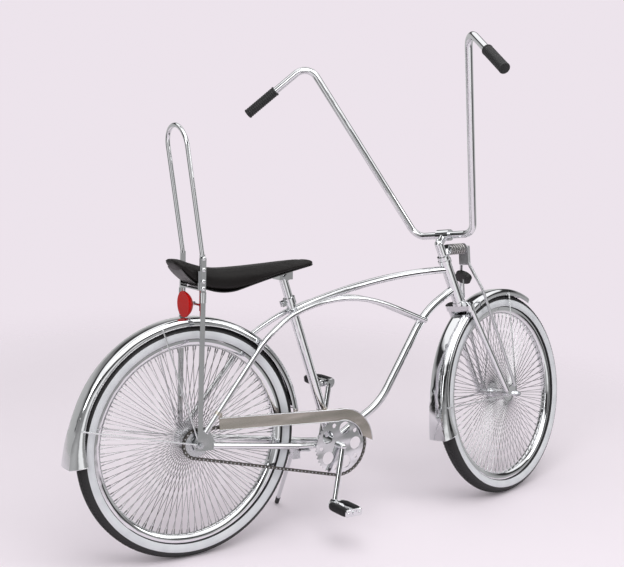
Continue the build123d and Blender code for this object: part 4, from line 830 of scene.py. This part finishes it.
CRANK_LENGTH = 165
CRANK_TURN = math.radians(-106.8)
PEDAL_Y = 145
PEDAL_HALF = 42.4
PEDAL_RIBS = 12
BLOCK_X = 21.5
pedal_rubber = Finish("pedal_rubber", (0.010, 0.010, 0.011), 0.55, Specular_IOR_Level=0.3)
pedal_rubber.bump(pedal_rubber.noise(1500.0, 3.0), 0.0002, 0.5)
crank_way = Vector((math.cos(CRANK_TURN), 0, math.sin(CRANK_TURN)))
block_steps = PEDAL_RIBS * 4
for side, sign in (("right", -1), ("left", 1)):
    middle = BRACKET - crank_way * CRANK_LENGTH * sign + Vector((0, sign * PEDAL_Y, 0))
    blocks = []
    nuts = []
    cage = [turned([(-42, 10), (-14, 10), (-8, 8.2), (8, 8.2), (14, 10), (42, 10)], middle, AXLE_WAY, 32)]
    for end in (-1, 1):
        web = zip((42.4, 43.2, 44.6, 45.2), (20, 21, 21, 20))
        cage.append(through([oval(middle + Vector((0, end * y, 0)), half, half * 0.52) for y, half in web]))
        for fore in (-1, 1):
            cap = zip((42.3, 42.9, 44.8, 46.0), (10.4, 10.8, 10.8, 9.2))
            spots = [(middle + Vector((fore * 18, end * y, 0)), half) for y, half in cap]
            cage.append(through([oval(spot, half, half * 1.02) for spot, half in spots]))
        nuts.append(nut(middle + Vector((0, end * 45.0, 0)), (0, end, 0), 6, 4.5))
    for fore in (-1, 1):
        rings = []
        for step in range(block_steps + 1):
            along = -PEDAL_HALF + 2 * PEDAL_HALF * step / block_steps
            rounding = math.sqrt(max(0.0, 1 - (abs(along) / 42.7) ** 5))
            rib = 0.93 if step % 4 == 2 else 1.0
            share = rib * (0.55 + 0.45 * rounding)
            rings.append(oval(middle + Vector((fore * BLOCK_X, along, 0)), 10.4 * share, 11.9 * share))
        blocks.append(through(rings))
        for end in (-1, 1):
            nuts.append(nut(middle + Vector((fore * 19, end * 45.6, 0)), (0, end, 0), 4.2, 4.2))
    body = "pedal_" + side
    piece("pedal_blocks_finished_" + side, blocks, stance, pedal_rubber, body, "pedal_blocks_" + side)
    piece("pedal_nuts_" + side, nuts, stance, chrome, body)
    piece("pedal_cage_finished_" + side, cage, stance, chrome, body, "pedal_cage_" + side)


# Fenders: pressed and chromed, flared at their tails, on pairs of round stays.
# A rolled edge runs along both sides and round both ends, just inside the plain solid's outline.

polished(chrome, "frame", "rear_fender", "rear_fender_braces", crease=35)
polished(chrome, "steering", "front_fender", crease=35)
FENDER_HALF = 31
FENDER_RADIUS = 343
FENDER_DEPTH = 17
FENDER_CROWN = 4
FLARE_DEPTH = 26
FLARE_CROWN = 4
FENDER_STEPS = 60
HOOP_STEPS = 16
for wheel, placing, body, axle, front_angle, rear_angle, flare_angle, flare_out, flare_half in (
    ("rear", stance, "frame", REAR_AXLE, 8, 158, 184, 12, 40),
    ("front", steered_stance, "steering", FRONT_AXLE, 62, 168, 196, 16, 42),
):
    edges = {-1: [], 1: []}
    hoops = []
    for step in range(FENDER_STEPS + 1):
        angle = front_angle + (flare_angle - front_angle) * step / FENDER_STEPS
        stage = max(0.0, (angle - rear_angle) / (flare_angle - rear_angle))
        share = 0.8 * stage * stage + 0.2 * stage
        half = FENDER_HALF + share * (flare_half - FENDER_HALF)
        radius = FENDER_RADIUS + share * flare_out
        depth = FENDER_DEPTH + share * FLARE_DEPTH
        crown = FENDER_CROWN + share * FLARE_CROWN
        turn = math.radians(angle)
        out = Vector((math.cos(turn), 0, math.sin(turn)))
        for side in edges:
            edges[side].append(axle + out * (radius - depth) + Vector((0, side * (half - 1), 0)))
        if step in (0, FENDER_STEPS):
            foot, waist, shoulder = radius - depth, radius - depth * 0.35, radius + crown * 0.72
            hoop = []
            for section in (
                [(-half, foot), (-half * 0.97, waist), (-half * 0.74, shoulder)],
                [(-half * 0.74, shoulder), (0, radius + crown), (half * 0.74, shoulder)],
                [(half * 0.74, shoulder), (half * 0.97, waist), (half, foot)],
            ):
                inset = [out * (high - EDGE_RADIUS) + Vector((0, aside * 0.97, 0)) for aside, high in section]
                arc = arc_line(*[axle + spot for spot in inset], HOOP_STEPS)
                hoop += arc[1:] if hoop else arc
            hoops.append(bar(hoop, EDGE_RADIUS, 12))
    edges = [bar(edges[side], EDGE_RADIUS, 12) for side in (-1, 1)]
    piece(wheel + "_fender_rolled_edges", hoops + edges, placing, chrome, body)


# Seat: a long foam pad under smooth black vinyl on a steel pan, high and rounded at the tail,
# dipped over the wheel and flat at the nose. The cover is blown up a little by a short cloth run.

def smooth(table, place):
    """A value between those of a table, on a curve without corners."""
    index = min(max(sum(place > entry[0] for entry in table) - 1, 0), len(table) - 2)
    before, low, high, after = [table[min(max(index + step, 0), len(table) - 1)] for step in (-1, 0, 1, 2)]
    span = high[0] - low[0]
    share = (place - low[0]) / span
    slope_low = (high[1] - before[1]) / (high[0] - before[0]) * span
    slope_high = (after[1] - low[1]) / (after[0] - low[0]) * span
    rise = high[1] - low[1]
    square, cube = share * share, share**3
    level = low[1] + rise * (3 * square - 2 * cube)
    return level + slope_low * (cube - 2 * square + share) + slope_high * (cube - square)


vinyl = Finish("black_vinyl", (0.0075, 0.0062, 0.006), 0.42, Specular_IOR_Level=0.2)
vinyl.feed("Roughness", vinyl.noise(45.0, 3.0) * 0.16 + 0.36)
grain = vinyl.node(
    "ShaderNodeTexVoronoi", {"feature": "DISTANCE_TO_EDGE"}, {"Vector": vinyl.place, "Scale": 620.0}
)
vinyl.bump(grain * 0.35 + vinyl.noise(26.0, 3.0) * 1.4, 0.0006, 0.55)
SEAT_Z = 438
SEAT_TAIL = -54
SEAT_NOSE = 393
# Each entry: a place along the seat, and the height over SEAT_Z or half the width there.
SEAT_TOP = [(-54, 76), (-30, 66), (0, 55), (40, 43.5), (85, 37), (160, 37.5), (235, 41), (320, 46), (393, 49)]
SEAT_LOW = [
    (-54, 57), (-40, 45), (-10, 16), (30, -8.5), (80, -18),
    (130, -19.5), (190, -8), (260, 11), (330, 26), (393, 38),
]
SEAT_HALF = [(-54, 40), (-44, 48), (-20, 51.5), (150, 51.5), (270, 43), (360, 35.5), (393, 30)]
SEAT_STATIONS = 90
SEAT_CORNERS = 56
SEAT_ROUNDING = 24
SEAT_CROWN = 2.6
seat_points = []
for station in range(SEAT_STATIONS + 1):
    share = station / SEAT_STATIONS
    along = SEAT_TAIL + (SEAT_NOSE - SEAT_TAIL) * (0.5 - 0.5 * math.cos(math.pi * share))
    edge = min(along - SEAT_TAIL, SEAT_NOSE - along)
    rounding = math.sqrt(max(0.0, 1 - (1 - min(edge / SEAT_ROUNDING, 1)) ** 2))
    top, low = smooth(SEAT_TOP, along), smooth(SEAT_LOW, along)
    half = smooth(SEAT_HALF, along) * (0.62 + 0.38 * rounding)
    middle, reach = (top + low) / 2, (top - low) / 2 * (0.12 + 0.88 * rounding)
    for turn in full_turn(SEAT_CORNERS):
        side = squared(math.cos(turn), 0.55) * half
        height = squared(math.sin(turn), 0.80) * reach
        crown = SEAT_CROWN * (1 - (side / half) ** 2) if math.sin(turn) > 0 else 0
        seat_points.append((along, side, SEAT_Z + middle + height - SEAT_CROWN + crown))
seat = seat_points, ring_faces(SEAT_STATIONS + 1, SEAT_CORNERS)
seat_pad = piece("seat_pad_finished", [seat], stance, vinyl, None, crease=70)

SEAT_SWELL = 0.0025
COVER_GRID = 0.005
HELD_HEIGHT = 9
CLOTH_PRESSURE = 4
CLOTH_FRAMES = 20
remesh = seat_pad.modifiers.new("remesh", "REMESH")
remesh.mode = "VOXEL"
remesh.voxel_size = COVER_GRID
settle(seat_pad)
held = seat_pad.vertex_groups.new(name="held")
for vertex in seat_pad.data.vertices:
    place = to_upright @ vertex.co
    if place.z < SEAT_Z + smooth(SEAT_LOW, place.x) + HELD_HEIGHT:
        held.add([vertex.index], 1.0, "REPLACE")
before = [vertex.co.copy() for vertex in seat_pad.data.vertices]
cloth = seat_pad.modifiers.new("cloth", "CLOTH")
cloth.settings.use_pressure = True
cloth.settings.uniform_pressure_force = CLOTH_PRESSURE
cloth.settings.effector_weights.gravity = 0
cloth.settings.vertex_group_mass = "held"
cloth.point_cache.frame_start, cloth.point_cache.frame_end = 1, CLOTH_FRAMES
for moment in range(1, CLOTH_FRAMES + 1):
    bpy.context.scene.frame_set(moment)
settle(seat_pad)
bpy.context.scene.frame_set(1)
for vertex, start in zip(seat_pad.data.vertices, before):
    move = vertex.co - start
    vertex.co = start + move * min(1, SEAT_SWELL / max(move.length, 1e-9))
seat_pad.modifiers.new("finer", "SUBSURF").levels = 1
settle(seat_pad)
seat_pad.data.shade_smooth()
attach(seat_pad, "frame")
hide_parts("seat_pad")
black_steel = Finish("black_steel", (0.02, 0.02, 0.02), 0.4)
black_steel.feed("Roughness", black_steel.noise(90.0, 3.0) * 0.2 + 0.3)
polished(black_steel, "frame", "seat_pan")
polished(chrome, "frame", "seat_bracket", "seat_clamp")


# Back bar: a round chromed arch whose flat tabs are bolted between the seat's bracket and the struts.
# Each strut carries four domed bolts and, under them, a sleeve.

def strut_place(height, y):
    """A place beside a strut, which leans forwards as it rises."""
    return 16 * (height + 12) / 534, y, height


ARCH_Y = 59
ARCH_BEND = 58
ARCH_RADIUS = 6.3
BOLT_Y = 65.2
SLEEVE_Y = 63.4
arch_sides = [(14, SEAT_Z + 80), (-36, SEAT_Z + 429)]
arch_corners = [(x, -ARCH_Y, z) for x, z in arch_sides] + [(x, ARCH_Y, z) for x, z in reversed(arch_sides)]
arch = bar(bend(arch_corners, [ARCH_BEND, ARCH_BEND]), ARCH_RADIUS, 32)
tabs = []
strut_bolts = []
sleeves = []
for sign in (-1, 1):
    outline = [(6.5, 522), (21.5, 522), (19.5, 370), (4.5, 370)]
    tabs.append(([(x, sign * y, z) for y in (56.6, 61.4) for x, z in outline], BLOCK_FACES))
    for height in (512, 482, 450, 431):
        strut_bolts.append(nut(strut_place(height, sign * BOLT_Y), (0, sign, 0), 5.6, 5.0, 20))
    sleeves.append(bar([strut_place(height, sign * SLEEVE_Y) for height in (420, 392)], 9.2, 24))
piece("back_bar_finished", [arch] + tabs, stance, chrome, "frame", "back_bar")
polished(chrome, "frame", "seat_struts", "reflector_bar")
piece("strut_bolts", strut_bolts, stance, chrome, "frame")
piece("strut_sleeves", sleeves, stance, chrome, "frame")


# Reflectors: a red tail reflector with a moulded prism pattern, and a plain round unit of black plastic
# under the spring, which could be a lamp, a bell or a reflector.

red = Finish("red_reflector", (0.42, 0.003, 0.004), 0.3, Specular_IOR_Level=0.12)
prisms = red.node(
    "ShaderNodeTexVoronoi", {"feature": "F1"}, {"Vector": red.place, "Scale": 260.0, "Randomness": 0.0}
)
red.feed("Base Color", red.mixed(prisms, (0.62, 0.006, 0.004, 1), (0.34, 0.002, 0.002, 1)))
red.bump(prisms, 0.0012, 0.6)
polished(red, "frame", "tail_reflector", crease=60)
black_plastic = Finish("black_plastic", (0.008, 0.008, 0.008), 0.35, Specular_IOR_Level=0.25)
black_plastic.feed("Roughness", black_plastic.noise(130.0, 2.0) * 0.15 + 0.28)
polished(black_plastic, "steering", "front_reflector")


# Side stand: a round chromed leg with a black rubber tip, pinned in a zinc plated fork
# under the chainstays.

polished(chrome, "kickstand", "kickstand")
polished(rubber, "kickstand", "kickstand_tip")
polished(zinc, "frame", "stand_bracket")
